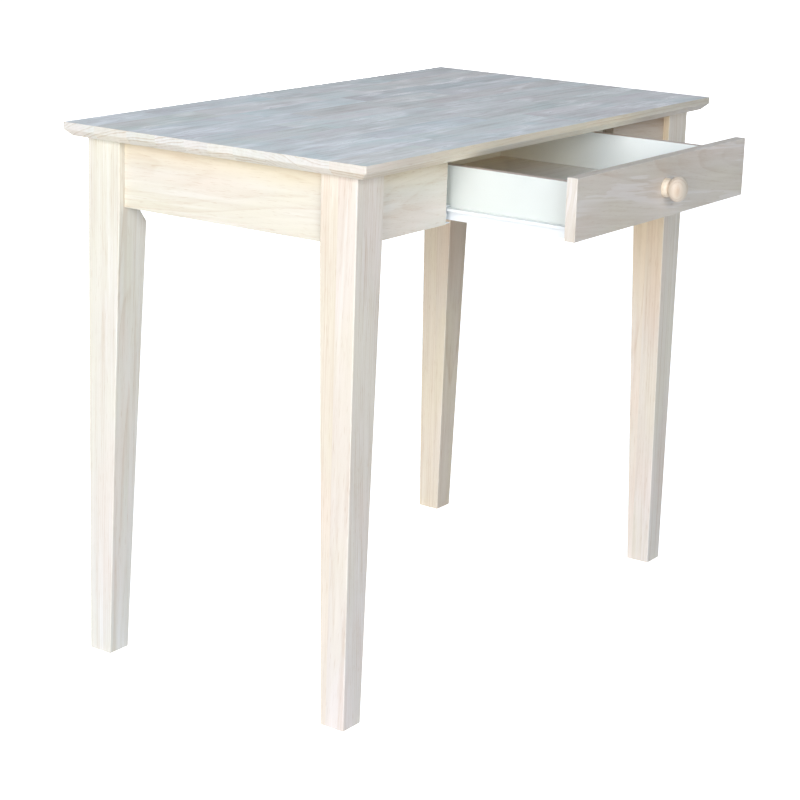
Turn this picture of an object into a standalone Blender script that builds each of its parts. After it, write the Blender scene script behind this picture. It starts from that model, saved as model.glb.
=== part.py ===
"""Shaker writing table with tapered legs and one drawer on roller slides.

Metres, +Z up. The front, where the drawer opens, faces -Y, and X runs along the width.
The floor is z = 0. The origin lies under the middle of the whole table as it stands with
its drawer part open.
"""
import math

import bmesh
import bpy
from mathutils import Matrix, Vector

# Table top
TOP_WIDTH = 0.914
TOP_DEPTH = 0.508
TABLE_HEIGHT = 0.762
TOP_THICK = 0.019
TOP_UNDER_BEVEL = 0.009
OVERHANG_END = 0.021
OVERHANG_FRONT = 0.027

# Legs
LEG_SIZE = 0.057
FOOT_SIZE = 0.038
TAPER_DROP = 0.004
LEG_CORNER_CUT = 0.015
CUT_RUNOUT = 0.018
CUT_DROP = 0.028

# Aprons and front panels
APRON_HEIGHT = 0.092
APRON_THICK = 0.019
APRON_SETBACK = 0.0095
FRONT_PANEL_WIDTH = 0.158

# Corner blocks, hanger bolts and nuts, top screws
BLOCK_THICK = 0.022
BLOCK_HEIGHT = 0.050
BOLT_RADIUS = 0.004
BOLT_IN_LEG = 0.032
BOLT_PAST_NUT = 0.004
BOLT_POINT = 0.008
NUT_ACROSS_FLATS = 0.013
NUT_THICK = 0.0065
TOP_SCREW_ASIDE = 0.020
TOP_SCREW_SINK = 0.020
TOP_SCREW_COVER = 0.005

# Drawer front, box and knob
FRONT_THICK = 0.016
FRONT_OVERLAP = 0.016
FRONT_TOP_GAP = 0.002
FRONT_REVEAL = 0.007
SIDE_THICK = 0.012
SIDE_DROP = 0.0125
SIDE_LIFT = 0.0055
BOX_BACK_GAP = 0.0365
BOTTOM_THICK = 0.005
BOTTOM_LIFT = 0.0125
BOTTOM_GROOVE = 0.006
CLOSED_GAP = 0.001
DRAWER_OPEN = 0.190
KNOB_RADIUS = 0.0177
KNOB_BASE_RADIUS = 0.0132
KNOB_NECK_RADIUS = 0.0098
KNOB_LENGTH = 0.031
KNOB_DOME = 0.0115
KNOB_BASE_LENGTH = 0.0085
KNOB_BASE_ROUND = 0.006
KNOB_NECK_LENGTH = 0.0015
FRONT_SCREW_SPREAD = 0.120

# Roller slides
SLIDE_SPACE = 0.0127
RAIL_REVEAL = 0.0033
RAIL_THICK = 0.019
RAIL_HEIGHT = 0.060
RAIL_HOUSING = 0.006
SHEET = 0.0012
MEMBER_HEIGHT = 0.017
MEMBER_LIP = 0.004
MEMBER_SETBACK = 0.002
MEMBER_SHORTER = 0.030
CHANNEL_SETBACK = 0.0035
CHANNEL_HEADROOM = 0.002
ROLLER_RADIUS = 0.0085
ROLLER_WIDTH = 0.0054
ROLLER_EASE = 0.0005
ROLLER_FROM_END = 0.012
PIN_RADIUS = 0.0022
PIN_HEAD_RADIUS = 0.0032
PIN_HEAD_THICK = 0.0007
STOP_HEIGHT = 0.003
STOP_LENGTH = 0.006
STOP_FROM_ROLLER = 0.0552

# Wood screws
SCREW_RADIUS = 0.00175
SCREW_HEAD_RADIUS = 0.0032
SCREW_HEAD_THICK = 0.0011
SCREW_HEAD_FLAT = 0.0022
SCREW_HEAD_RIM = 0.0004
SCREW_POINT = 0.004
RAIL_SCREW_LENGTH = 0.014
SIDE_SCREW_LENGTH = 0.010
SIDE_SCREW_INSET = 0.004
SLIDE_SCREW_FROM_END = 0.060
FRONT_SCREW_BITE = 0.012
KNOB_SCREW_BITE = 0.014

# Fits
SEAT_GAP = 0.0003
RUNNING_GAP = 0.0002
SLIDE_CLEARANCE = 0.0008
CUT_OVERRUN = 0.010
ROUND_SIDES = 16
ROLLER_SIDES = 24
KNOB_SIDES = 32
KNOB_ARC_STEPS = 7

# Heights worked out from the sizes above
UNDER_TOP = TABLE_HEIGHT - TOP_THICK
FRAME_TOP = UNDER_TOP - SEAT_GAP
APRON_BOTTOM = UNDER_TOP - APRON_HEIGHT
FRONT_TOP = UNDER_TOP - FRONT_TOP_GAP
FRONT_BOTTOM = APRON_BOTTOM + FRONT_REVEAL
SIDE_TOP = FRONT_TOP - SIDE_DROP
SIDE_BOTTOM = APRON_BOTTOM + SIDE_LIFT
PANEL_LOW = SIDE_BOTTOM + BOTTOM_LIFT
PANEL_HIGH = PANEL_LOW + BOTTOM_THICK
KNOB_HEIGHT = (FRONT_TOP + FRONT_BOTTOM) / 2
BLOCK_LOW = FRAME_TOP - BLOCK_HEIGHT
BOLT_HEIGHT = FRAME_TOP - BLOCK_HEIGHT / 2

# Depths: the drawer sticks out past the top, and the whole is centred on y = 0
PANEL_FACE_IN = OVERHANG_FRONT + APRON_SETBACK
DRAWER_REACH = CLOSED_GAP + DRAWER_OPEN + FRONT_THICK + SEAT_GAP + KNOB_LENGTH - PANEL_FACE_IN
TOP_CENTRE_Y = DRAWER_REACH / 2
TOP_FRONT_Y = TOP_CENTRE_Y - TOP_DEPTH / 2
TOP_BACK_Y = TOP_CENTRE_Y + TOP_DEPTH / 2
PANEL_FACE_Y = TOP_FRONT_Y + PANEL_FACE_IN
PANEL_REAR_Y = PANEL_FACE_Y + APRON_THICK
BACK_APRON_FRONT_Y = TOP_BACK_Y - PANEL_FACE_IN - APRON_THICK
CLOSED_REAR_Y = PANEL_FACE_Y - CLOSED_GAP
FRONT_REAR_Y = CLOSED_REAR_Y - DRAWER_OPEN
FRONT_FACE_Y = FRONT_REAR_Y - FRONT_THICK
BOX_FRONT_Y = FRONT_REAR_Y + SEAT_GAP
SIDE_LENGTH = BACK_APRON_FRONT_Y - BOX_BACK_GAP - CLOSED_REAR_Y - SEAT_GAP
BOX_REAR_Y = BOX_FRONT_Y + SIDE_LENGTH
BOX_INNER_FRONT_Y = BOX_FRONT_Y + SIDE_THICK

# Widths
LEG_OUTER_X = TOP_WIDTH / 2 - OVERHANG_END
LEG_INNER_X = LEG_OUTER_X - LEG_SIZE
OPENING_HALF = LEG_INNER_X - FRONT_PANEL_WIDTH
FRONT_HALF = OPENING_HALF + FRONT_OVERLAP
RAIL_FACE_X = OPENING_HALF - RAIL_REVEAL
BOX_HALF = RAIL_FACE_X - SLIDE_SPACE
BOX_INNER_HALF = BOX_HALF - SIDE_THICK

# Roller slides: distances in are counted from a rail's face towards the drawer
MEMBER_WEB_OUT = SLIDE_SPACE - SEAT_GAP - SHEET
CHANNEL_WEB_IN = SEAT_GAP + SHEET
MEMBER_LIP_OUT = CHANNEL_WEB_IN + SLIDE_CLEARANCE
ROLLER_IN_HIGH = MEMBER_WEB_OUT - SLIDE_CLEARANCE - PIN_HEAD_THICK
ROLLER_IN_LOW = ROLLER_IN_HIGH - ROLLER_WIDTH
MEMBER_LOW = SIDE_BOTTOM - SEAT_GAP - SHEET
MEMBER_HIGH = MEMBER_LOW + MEMBER_HEIGHT
CHANNEL_LOW = APRON_BOTTOM
CHANNEL_FLOOR = CHANNEL_LOW + SHEET
CHANNEL_HIGH = MEMBER_HIGH + CHANNEL_HEADROOM + SHEET
FRONT_ROLLER_Z = MEMBER_HIGH - SHEET - SEAT_GAP - ROLLER_RADIUS
REAR_ROLLER_Z = CHANNEL_FLOOR + SEAT_GAP + ROLLER_RADIUS
SLIDE_LENGTH = SIDE_LENGTH - MEMBER_SHORTER
CHANNEL_FRONT_Y = PANEL_FACE_Y + CHANNEL_SETBACK
CHANNEL_REAR_Y = CHANNEL_FRONT_Y + SLIDE_LENGTH
MEMBER_FRONT_Y = BOX_FRONT_Y + MEMBER_SETBACK
MEMBER_REAR_Y = MEMBER_FRONT_Y + SLIDE_LENGTH
FRONT_ROLLER_Y = CHANNEL_FRONT_Y + ROLLER_FROM_END
REAR_ROLLER_Y = MEMBER_REAR_Y - ROLLER_FROM_END
STOP_REAR_Y = FRONT_ROLLER_Y + STOP_FROM_ROLLER

SIDES = {"left": -1, "right": 1}
ENDS = {"front": -1, "back": 1}
CORNERS = [(f"{end}_{side}", sx, sy) for end, sy in ENDS.items() for side, sx in SIDES.items()]
UP = Vector((0, 0, 1))


def clear_scene():
    """Empties the file of objects."""
    for obj in list(bpy.data.objects):
        bpy.data.objects.remove(obj, do_unlink=True)


def new_collection(name):
    """A collection linked to the scene."""
    made = bpy.data.collections.new(name)
    bpy.context.scene.collection.children.link(made)
    return made


def finish(name, colour, roughness, metallic=0.0):
    """A Principled material."""
    made = bpy.data.materials.new(name)
    made.use_nodes = True
    shader = made.node_tree.nodes["Principled BSDF"]
    shader.inputs["Base Color"].default_value = (*colour, 1.0)
    shader.inputs["Roughness"].default_value = roughness
    shader.inputs["Metallic"].default_value = metallic
    return made


def add_object(name, mesh, material, place=(0, 0, 0)):
    """A part of the table."""
    obj = bpy.data.objects.new(name, mesh)
    obj.location = place
    mesh.materials.append(material)
    PARTS.objects.link(obj)
    return obj


def mesh_from(bm, name):
    """Turns a bmesh into a mesh with its faces outward."""
    bmesh.ops.recalc_face_normals(bm, faces=bm.faces)
    mesh = bpy.data.meshes.new(name)
    bm.to_mesh(mesh)
    bm.free()
    return mesh


def box_mesh(name, low, high):
    """A box mesh round its own middle, and that middle."""
    size = Vector(high) - Vector(low)
    bm = bmesh.new()
    bmesh.ops.create_cube(bm, size=1.0)
    bmesh.ops.scale(bm, vec=size, verts=bm.verts)
    return mesh_from(bm, name), Vector(low) + size / 2


def box(name, low, high, material):
    """A board or block between two corners."""
    mesh, middle = box_mesh(name, low, high)
    return add_object(name, mesh, material, middle)


def as_cutter(mesh, matrix):
    """A hidden shape that cuts holes and housings."""
    tool = bpy.data.objects.new(f"cut_{mesh.name}", mesh)
    tool.matrix_world = matrix
    tool.hide_render = True
    tool.display_type = "WIRE"
    CUTTERS.objects.link(tool)
    return tool


def box_cutter(name, low, high):
    """A cutter between two corners."""
    mesh, middle = box_mesh(name, low, high)
    return as_cutter(mesh, Matrix.Translation(middle))


def aim(start, direction):
    """A matrix that stands +Z along a direction from a point."""
    turn = Vector(direction).to_track_quat("Z", "Y").to_matrix().to_4x4()
    return Matrix.Translation(start) @ turn


def rod_cutter(name, start, direction, length, radius):
    """A round cutter that runs from a point along a direction."""
    bm = bmesh.new()
    lift = Matrix.Translation((0, 0, length / 2))
    bmesh.ops.create_cone(
        bm, cap_ends=True, segments=ROUND_SIDES, radius1=radius, radius2=radius, depth=length, matrix=lift
    )
    return as_cutter(mesh_from(bm, name), aim(start, direction))


def cut(obj, *tools, operation="DIFFERENCE"):
    """Cuts an object with, or joins it to, each tool in turn."""
    for tool in tools:
        step = obj.modifiers.new(tool.name, "BOOLEAN")
        step.operation = operation
        step.object = tool
        step.solver = "EXACT"


def turned(name, profile, material, start, direction, sides=ROUND_SIDES, ring=False):
    """A turned piece: radius and height pairs, top to bottom, spun about an axis.

    A ring's profile closes on itself and leaves a bore.
    """
    bm = bmesh.new()
    points = [bm.verts.new((radius, 0, height)) for radius, height in profile]
    for first, second in zip(points, points[1:]):
        bm.edges.new((first, second))
    if ring:
        bm.edges.new((points[-1], points[0]))
    mesh = bpy.data.meshes.new(name)
    bm.to_mesh(mesh)
    bm.free()
    obj = add_object(name, mesh, material)
    obj.matrix_world = aim(start, direction)
    spin = obj.modifiers.new("spin", "SCREW")
    spin.steps = sides
    spin.render_steps = sides
    spin.use_merge_vertices = True
    spin.merge_threshold = 0.00001
    spin.use_smooth_shade = True
    return obj


def slab_mesh(name, outline, thickness):
    """A flat outline in local X and Y given a thickness about z = 0, as one welded mesh."""
    curve = bpy.data.curves.new(name, "CURVE")
    curve.dimensions = "2D"
    curve.fill_mode = "BOTH"
    curve.extrude = thickness / 2
    spline = curve.splines.new("POLY")
    spline.points.add(len(outline) - 1)
    for point, (x, y) in zip(spline.points, outline):
        point.co = (x, y, 0, 1)
    spline.use_cyclic_u = True
    holder = bpy.data.objects.new(name, curve)
    CUTTERS.objects.link(holder)
    evaluated = holder.evaluated_get(bpy.context.evaluated_depsgraph_get())
    bm = bmesh.new()
    bm.from_mesh(bpy.data.meshes.new_from_object(evaluated))
    bmesh.ops.remove_doubles(bm, verts=bm.verts, dist=0.00001)
    bpy.data.objects.remove(holder, do_unlink=True)
    return mesh_from(bm, name)


def run_along_y(outline, front, rear, name, material):
    """A bar of one section, given as world x and z pairs, from one depth to another."""
    mesh = slab_mesh(name, outline, rear - front)
    obj = add_object(name, mesh, material)
    upright = Matrix.Rotation(math.radians(90), 4, "X")
    obj.matrix_world = Matrix.Translation((0, (front + rear) / 2, 0)) @ upright
    return obj


def wood_screw(name, length, material, start, direction):
    """A wood screw whose head's underside sits a seat gap off a point, driven along a direction."""
    into = Vector(direction).normalized()
    profile = [
        (0, SCREW_HEAD_THICK),
        (SCREW_HEAD_FLAT, SCREW_HEAD_THICK),
        (SCREW_HEAD_RADIUS, SCREW_HEAD_RIM),
        (SCREW_HEAD_RADIUS, 0),
        (SCREW_RADIUS, 0),
        (SCREW_RADIUS, SCREW_POINT - length),
        (0, -length),
    ]
    return turned(name, profile, material, Vector(start) - into * SEAT_GAP, -into)


def screw_hole(name, start, direction, depth):
    """The pilot hole of a wood screw, opened a little above its mouth."""
    into = Vector(direction).normalized()
    mouth = Vector(start) - into * CUT_OVERRUN
    return rod_cutter(name, mouth, into, CUT_OVERRUN + depth, SCREW_RADIUS + SEAT_GAP)


def hang_on(empty, pieces):
    """Parents pieces to an empty without moving them."""
    bpy.context.view_layer.update()
    for piece in pieces:
        piece.parent = empty
        piece.matrix_parent_inverse = empty.matrix_world.inverted()


def at_corner(sx, sy, u, v, z):
    """A point near a leg: u and v run inward along X and Y from the leg's outer corner."""
    outer_y = TOP_FRONT_Y + OVERHANG_FRONT if sy < 0 else TOP_BACK_Y - OVERHANG_FRONT
    return Vector((sx * (LEG_OUTER_X - u), outer_y - sy * v, z))


def inward(sx, sy):
    """The level direction from a leg's outer corner to the table's middle."""
    return Vector((-sx, -sy, 0)).normalized()


def slide_x(sx, distance):
    """The world x of a distance in from a rail's face."""
    return sx * (RAIL_FACE_X - distance)


def make_tabletop(material):
    """The stave panel, with a bevel round the underside of its edge."""
    low = (-TOP_WIDTH / 2, TOP_FRONT_Y, UNDER_TOP)
    high = (TOP_WIDTH / 2, TOP_BACK_Y, TABLE_HEIGHT)
    top = box("tabletop", low, high, material)
    bm = bmesh.new()
    bm.from_mesh(top.data)
    under = [edge for edge in bm.edges if all(vert.co.z < 0 for vert in edge.verts)]
    bmesh.ops.bevel(bm, geom=under, offset=TOP_UNDER_BEVEL, segments=1, affect="EDGES", profile=0.5)
    bm.to_mesh(top.data)
    bm.free()
    for name, sx, sy in CORNERS:
        mouth = top_screw_place(sx, sy, UNDER_TOP)
        cut(top, screw_hole(f"top_{name}", mouth, UP, TOP_THICK - TOP_SCREW_COVER + SEAT_GAP))
    return top


def corner_cut(name, sx, sy):
    """The cutter of a leg's inner corner: a flat that runs out below the apron."""
    flat = (2 * LEG_SIZE - LEG_CORNER_CUT) / math.sqrt(2)
    corner = LEG_SIZE * math.sqrt(2)
    runout_low = APRON_BOTTOM - CUT_DROP
    runout_high = runout_low + CUT_RUNOUT
    past = corner + CUT_OVERRUN
    past_low = runout_low - CUT_OVERRUN * CUT_RUNOUT / (corner - flat)
    ceiling = UNDER_TOP + CUT_OVERRUN
    outline = [(flat, ceiling), (past, ceiling), (past, past_low), (flat, runout_high)]
    mesh = slab_mesh(f"corner_{name}", outline, LEG_SIZE)
    along = inward(sx, sy)
    turn = Matrix((along, UP, along.cross(UP))).transposed().to_4x4()
    return as_cutter(mesh, Matrix.Translation(at_corner(sx, sy, 0, 0, 0)) @ turn)


def make_leg(name, sx, sy, material):
    """A leg: square at the apron, tapered on its two inner faces to the foot."""
    taper_start = APRON_BOTTOM - TAPER_DROP
    bm = bmesh.new()
    bmesh.ops.create_cube(bm, size=1.0, matrix=Matrix.Translation((0.5, 0.5, 0.5)))
    bmesh.ops.scale(bm, vec=(LEG_SIZE, LEG_SIZE, FRAME_TOP), verts=bm.verts)
    every = bm.verts[:] + bm.edges[:] + bm.faces[:]
    bmesh.ops.bisect_plane(bm, geom=every, plane_co=(0, 0, taper_start), plane_no=UP)
    for vert in bm.verts:
        if vert.co.z < taper_start / 2:
            vert.co.x = min(vert.co.x, FOOT_SIZE)
            vert.co.y = min(vert.co.y, FOOT_SIZE)
    bmesh.ops.scale(bm, vec=(-sx, -sy, 1), verts=bm.verts)
    leg = add_object(f"leg_{name}", mesh_from(bm, f"leg_{name}"), material, at_corner(sx, sy, 0, 0, 0))
    seat = bolt_seat(sx, sy)
    into_leg = -inward(sx, sy)
    mouth = seat - into_leg * CUT_OVERRUN
    deep = CUT_OVERRUN + BOLT_IN_LEG + SEAT_GAP
    hole = rod_cutter(f"leg_{name}", mouth, into_leg, deep, BOLT_RADIUS + SEAT_GAP)
    cut(leg, corner_cut(name, sx, sy), hole)
    return leg


def bolt_seat(sx, sy):
    """Where a hanger bolt crosses the flat on its leg's inner corner."""
    middle = LEG_SIZE - LEG_CORNER_CUT / 2
    return at_corner(sx, sy, middle, middle, BOLT_HEIGHT)


def make_end_apron(side, sx, material):
    """An end apron, leg to leg."""
    outer = LEG_OUTER_X - APRON_SETBACK
    inner = outer - APRON_THICK
    front = at_corner(sx, -1, 0, LEG_SIZE + SEAT_GAP, 0).y
    rear = at_corner(sx, 1, 0, LEG_SIZE + SEAT_GAP, 0).y
    xs = sorted((sx * outer, sx * inner))
    return box(f"apron_{side}", (xs[0], front, APRON_BOTTOM), (xs[1], rear, FRAME_TOP), material)


def rail_housing(name, sx, face_y, into):
    """The housing of a slide rail's end in the board it runs into."""
    xs = sorted((sx * (RAIL_FACE_X - SEAT_GAP), sx * (RAIL_FACE_X + RAIL_THICK + SEAT_GAP)))
    ys = sorted((face_y - into * CUT_OVERRUN, face_y + into * (RAIL_HOUSING + SEAT_GAP)))
    low = (xs[0], ys[0], APRON_BOTTOM - CUT_OVERRUN)
    high = (xs[1], ys[1], APRON_BOTTOM + RAIL_HEIGHT + SEAT_GAP)
    return box_cutter(name, low, high)


def make_back_apron(material):
    """The back apron, with a housing for each slide rail."""
    reach = LEG_INNER_X - SEAT_GAP
    low = (-reach, BACK_APRON_FRONT_Y, APRON_BOTTOM)
    high = (reach, BACK_APRON_FRONT_Y + APRON_THICK, FRAME_TOP)
    apron = box("apron_back", low, high, material)
    for side, sx in SIDES.items():
        cut(apron, rail_housing(f"back_housing_{side}", sx, BACK_APRON_FRONT_Y, 1))
    return apron


def make_front_panel(side, sx, material):
    """A short front panel between a leg and the drawer opening."""
    xs = sorted((sx * (LEG_INNER_X - SEAT_GAP), sx * OPENING_HALF))
    low = (xs[0], PANEL_FACE_Y, APRON_BOTTOM)
    high = (xs[1], PANEL_REAR_Y, FRAME_TOP)
    panel = box(f"front_panel_{side}", low, high, material)
    cut(panel, rail_housing(f"front_housing_{side}", sx, PANEL_REAR_Y, -1))
    return panel


def channel_screw_places(sx):
    """Where the two screws of a cabinet slide member enter its rail."""
    x = slide_x(sx, CHANNEL_WEB_IN)
    ys = (CHANNEL_FRONT_Y + SLIDE_SCREW_FROM_END, CHANNEL_REAR_Y - SLIDE_SCREW_FROM_END)
    return {"front": Vector((x, ys[0], REAR_ROLLER_Z)), "back": Vector((x, ys[1], REAR_ROLLER_Z))}


def make_slide_rail(side, sx, material):
    """A rail from front panel to back apron that carries one slide."""
    xs = sorted((sx * RAIL_FACE_X, sx * (RAIL_FACE_X + RAIL_THICK)))
    low = (xs[0], PANEL_REAR_Y - RAIL_HOUSING, APRON_BOTTOM)
    high = (xs[1], BACK_APRON_FRONT_Y + RAIL_HOUSING, APRON_BOTTOM + RAIL_HEIGHT)
    rail = box(f"slide_rail_{side}", low, high, material)
    for end, place in channel_screw_places(sx).items():
        cut(rail, screw_hole(f"rail_{side}_{end}", place, (sx, 0, 0), RAIL_SCREW_LENGTH + SEAT_GAP))
    return rail


def top_screw_place(sx, sy, z):
    """Where a top screw passes a height, to one side of its corner block's bolt."""
    middle = block_lines()[0] / 2 + BLOCK_THICK / math.sqrt(2) / 2
    return at_corner(sx, sy, middle + TOP_SCREW_ASIDE, middle - TOP_SCREW_ASIDE, z)


def block_lines():
    """u + v on a corner block's leg side and on its nut side."""
    near = 2 * LEG_SIZE - LEG_CORNER_CUT + SEAT_GAP * math.sqrt(2)
    return near, near + BLOCK_THICK * math.sqrt(2)


def make_corner_block(name, sx, sy, material):
    """A block across a corner, from apron to apron, that the leg is bolted to."""
    near, far = block_lines()
    face = APRON_SETBACK + APRON_THICK + SEAT_GAP
    corners = [(face, near - face), (face, far - face), (far - face, face), (near - face, face)]
    outline = [at_corner(sx, sy, u, v, 0).xy for u, v in corners]
    block_name = f"corner_block_{name}"
    mesh = slab_mesh(block_name, outline, BLOCK_HEIGHT)
    block = add_object(block_name, mesh, material, (0, 0, BOLT_HEIGHT))
    along = inward(sx, sy)
    mouth = bolt_seat(sx, sy) - along * CUT_OVERRUN
    bore = rod_cutter(f"bolt_{name}", mouth, along, BLOCK_THICK + 2 * CUT_OVERRUN, BOLT_RADIUS + SEAT_GAP)
    low = top_screw_place(sx, sy, BLOCK_LOW - CUT_OVERRUN)
    sink = CUT_OVERRUN + TOP_SCREW_SINK
    counterbore = rod_cutter(f"sink_{name}", low, UP, sink, SCREW_HEAD_RADIUS + SLIDE_CLEARANCE)
    head_seat = top_screw_place(sx, sy, BLOCK_LOW + TOP_SCREW_SINK)
    cut(block, bore, counterbore, screw_hole(f"block_{name}", head_seat, UP, BLOCK_HEIGHT))
    return block


def make_hanger_bolt(name, sx, sy, material):
    """A hanger bolt: its pointed end in the leg, its plain end through block and nut."""
    along = inward(sx, sy)
    outside = SEAT_GAP + BLOCK_THICK + SEAT_GAP + NUT_THICK + BOLT_PAST_NUT
    profile = [
        (0, outside),
        (BOLT_RADIUS, outside),
        (BOLT_RADIUS, BOLT_POINT - BOLT_IN_LEG),
        (0, -BOLT_IN_LEG),
    ]
    return turned(f"hanger_bolt_{name}", profile, material, bolt_seat(sx, sy), along)


def make_hanger_nut(name, sx, sy, material):
    """A hexagon nut against the block."""
    along = inward(sx, sy)
    seat = bolt_seat(sx, sy) + along * (SEAT_GAP + BLOCK_THICK + SEAT_GAP)
    bm = bmesh.new()
    corner = NUT_ACROSS_FLATS / math.sqrt(3)
    lift = Matrix.Translation((0, 0, NUT_THICK / 2))
    bmesh.ops.create_cone(
        bm, cap_ends=True, segments=6, radius1=corner, radius2=corner, depth=NUT_THICK, matrix=lift
    )
    nut = add_object(f"hanger_nut_{name}", mesh_from(bm, f"hanger_nut_{name}"), material)
    nut.matrix_world = aim(seat, along)
    start = seat - along * CUT_OVERRUN
    cut(nut, rod_cutter(f"nut_{name}", start, along, NUT_THICK + 2 * CUT_OVERRUN, BOLT_RADIUS + SEAT_GAP))
    return nut


def make_top_screw(name, sx, sy, material):
    """A screw up through a corner block into the top."""
    seat = top_screw_place(sx, sy, BLOCK_LOW + TOP_SCREW_SINK)
    length = TABLE_HEIGHT - TOP_SCREW_COVER - seat.z
    return wood_screw(f"top_screw_{name}", length, material, seat, UP)


def quarter_turn(radius, height, across, along):
    """Points of a quarter ellipse about a point of a profile, from along its axis to across it."""
    turns = [math.radians(90 * step / KNOB_ARC_STEPS) for step in range(KNOB_ARC_STEPS + 1)]
    return [(radius + across * math.sin(turn), height + along * math.cos(turn)) for turn in turns]


def knob_profile():
    """Radius and height pairs of the knob: domed cap, neck and rounded base, face to seat."""
    rim = KNOB_LENGTH - KNOB_DOME
    cap_low = KNOB_BASE_LENGTH + KNOB_NECK_LENGTH
    dome = quarter_turn(0, rim, KNOB_RADIUS, KNOB_DOME)
    under = quarter_turn(KNOB_NECK_RADIUS, rim, KNOB_RADIUS - KNOB_NECK_RADIUS, cap_low - rim)
    base_side = KNOB_BASE_LENGTH - KNOB_BASE_ROUND
    base = quarter_turn(KNOB_NECK_RADIUS, base_side, KNOB_BASE_RADIUS - KNOB_NECK_RADIUS, KNOB_BASE_ROUND)
    return dome + under[-2::-1] + base + [(KNOB_BASE_RADIUS, 0), (0, 0)]


def make_knob(material):
    """The turned mushroom knob, with a hole for its screw."""
    seat = Vector((0, FRONT_FACE_Y - SEAT_GAP, KNOB_HEIGHT))
    knob = turned("drawer_knob", knob_profile(), material, seat, (0, -1, 0), sides=KNOB_SIDES)
    cut(knob, screw_hole("knob", seat, (0, -1, 0), KNOB_SCREW_BITE + SEAT_GAP))
    return knob


def make_knob_screw(material):
    """The screw from inside the box, through box front and drawer front, into the knob."""
    seat = Vector((0, BOX_INNER_FRONT_Y, KNOB_HEIGHT))
    length = BOX_INNER_FRONT_Y - FRONT_FACE_Y + SEAT_GAP + KNOB_SCREW_BITE
    return wood_screw("knob_screw", length, material, seat, (0, -1, 0))


def front_screw_place(sx):
    """Where a drawer front screw enters, inside the box."""
    return Vector((sx * FRONT_SCREW_SPREAD, BOX_INNER_FRONT_Y, KNOB_HEIGHT))


def front_screw_length():
    """A drawer front screw's length under its head."""
    return BOX_INNER_FRONT_Y - FRONT_REAR_Y + FRONT_SCREW_BITE


def front_holes(name):
    """The holes through box front and drawer front: two screws and the knob screw."""
    forward = (0, -1, 0)
    seat = Vector((0, BOX_INNER_FRONT_Y, KNOB_HEIGHT))
    through = BOX_INNER_FRONT_Y - FRONT_FACE_Y + CUT_OVERRUN
    holes = [screw_hole(f"{name}_knob", seat, forward, through)]
    for side, sx in SIDES.items():
        deep = front_screw_length() + SEAT_GAP
        holes.append(screw_hole(f"{name}_{side}", front_screw_place(sx), forward, deep))
    return holes


def make_drawer_front(material):
    """The solid board that shows, wider than the box."""
    low = (-FRONT_HALF, FRONT_FACE_Y, FRONT_BOTTOM)
    high = (FRONT_HALF, FRONT_REAR_Y, FRONT_TOP)
    board = box("drawer_front", low, high, material)
    cut(board, *front_holes("board"))
    return board


def bottom_panel_corners(spare):
    """The drawer bottom's two corners, grown all round by a little."""
    reach = BOX_INNER_HALF + BOTTOM_GROOVE - SEAT_GAP + spare
    front = BOX_INNER_FRONT_Y - BOTTOM_GROOVE + SEAT_GAP - spare
    rear = BOX_REAR_Y - SIDE_THICK + BOTTOM_GROOVE - SEAT_GAP + spare
    return (-reach, front, PANEL_LOW - spare), (reach, rear, PANEL_HIGH + spare)


def make_drawer_bottom(material):
    """The thin bottom, held in a groove round the box."""
    return box("drawer_bottom", *bottom_panel_corners(0), material)


def bottom_groove(name):
    """The groove round the inside of the box."""
    return box_cutter(name, *bottom_panel_corners(SEAT_GAP))


def member_screw_places(sx):
    """Where the two screws of a drawer slide member go up into the side's lower edge."""
    x = sx * (BOX_HALF - SIDE_SCREW_INSET)
    ys = (MEMBER_FRONT_Y + SLIDE_SCREW_FROM_END, MEMBER_REAR_Y - SLIDE_SCREW_FROM_END)
    return {"front": Vector((x, ys[0], MEMBER_LOW)), "back": Vector((x, ys[1], MEMBER_LOW))}


def make_drawer_side(side, sx, material):
    """A white side of the box."""
    xs = sorted((sx * BOX_HALF, sx * BOX_INNER_HALF))
    low = (xs[0], BOX_FRONT_Y, SIDE_BOTTOM)
    high = (xs[1], BOX_REAR_Y, SIDE_TOP)
    board = box(f"drawer_side_{side}", low, high, material)
    cut(board, bottom_groove(f"groove_side_{side}"))
    for end, place in member_screw_places(sx).items():
        cut(board, screw_hole(f"side_{side}_{end}", place, UP, SIDE_SCREW_LENGTH + SEAT_GAP))
    return board


def make_box_end(name, front, material):
    """The box front or the drawer back, between the sides."""
    reach = BOX_INNER_HALF - SEAT_GAP
    low = (-reach, front, SIDE_BOTTOM)
    high = (reach, front + SIDE_THICK, SIDE_TOP)
    board = box(name, low, high, material)
    cut(board, bottom_groove(f"groove_{name}"))
    return board


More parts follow.
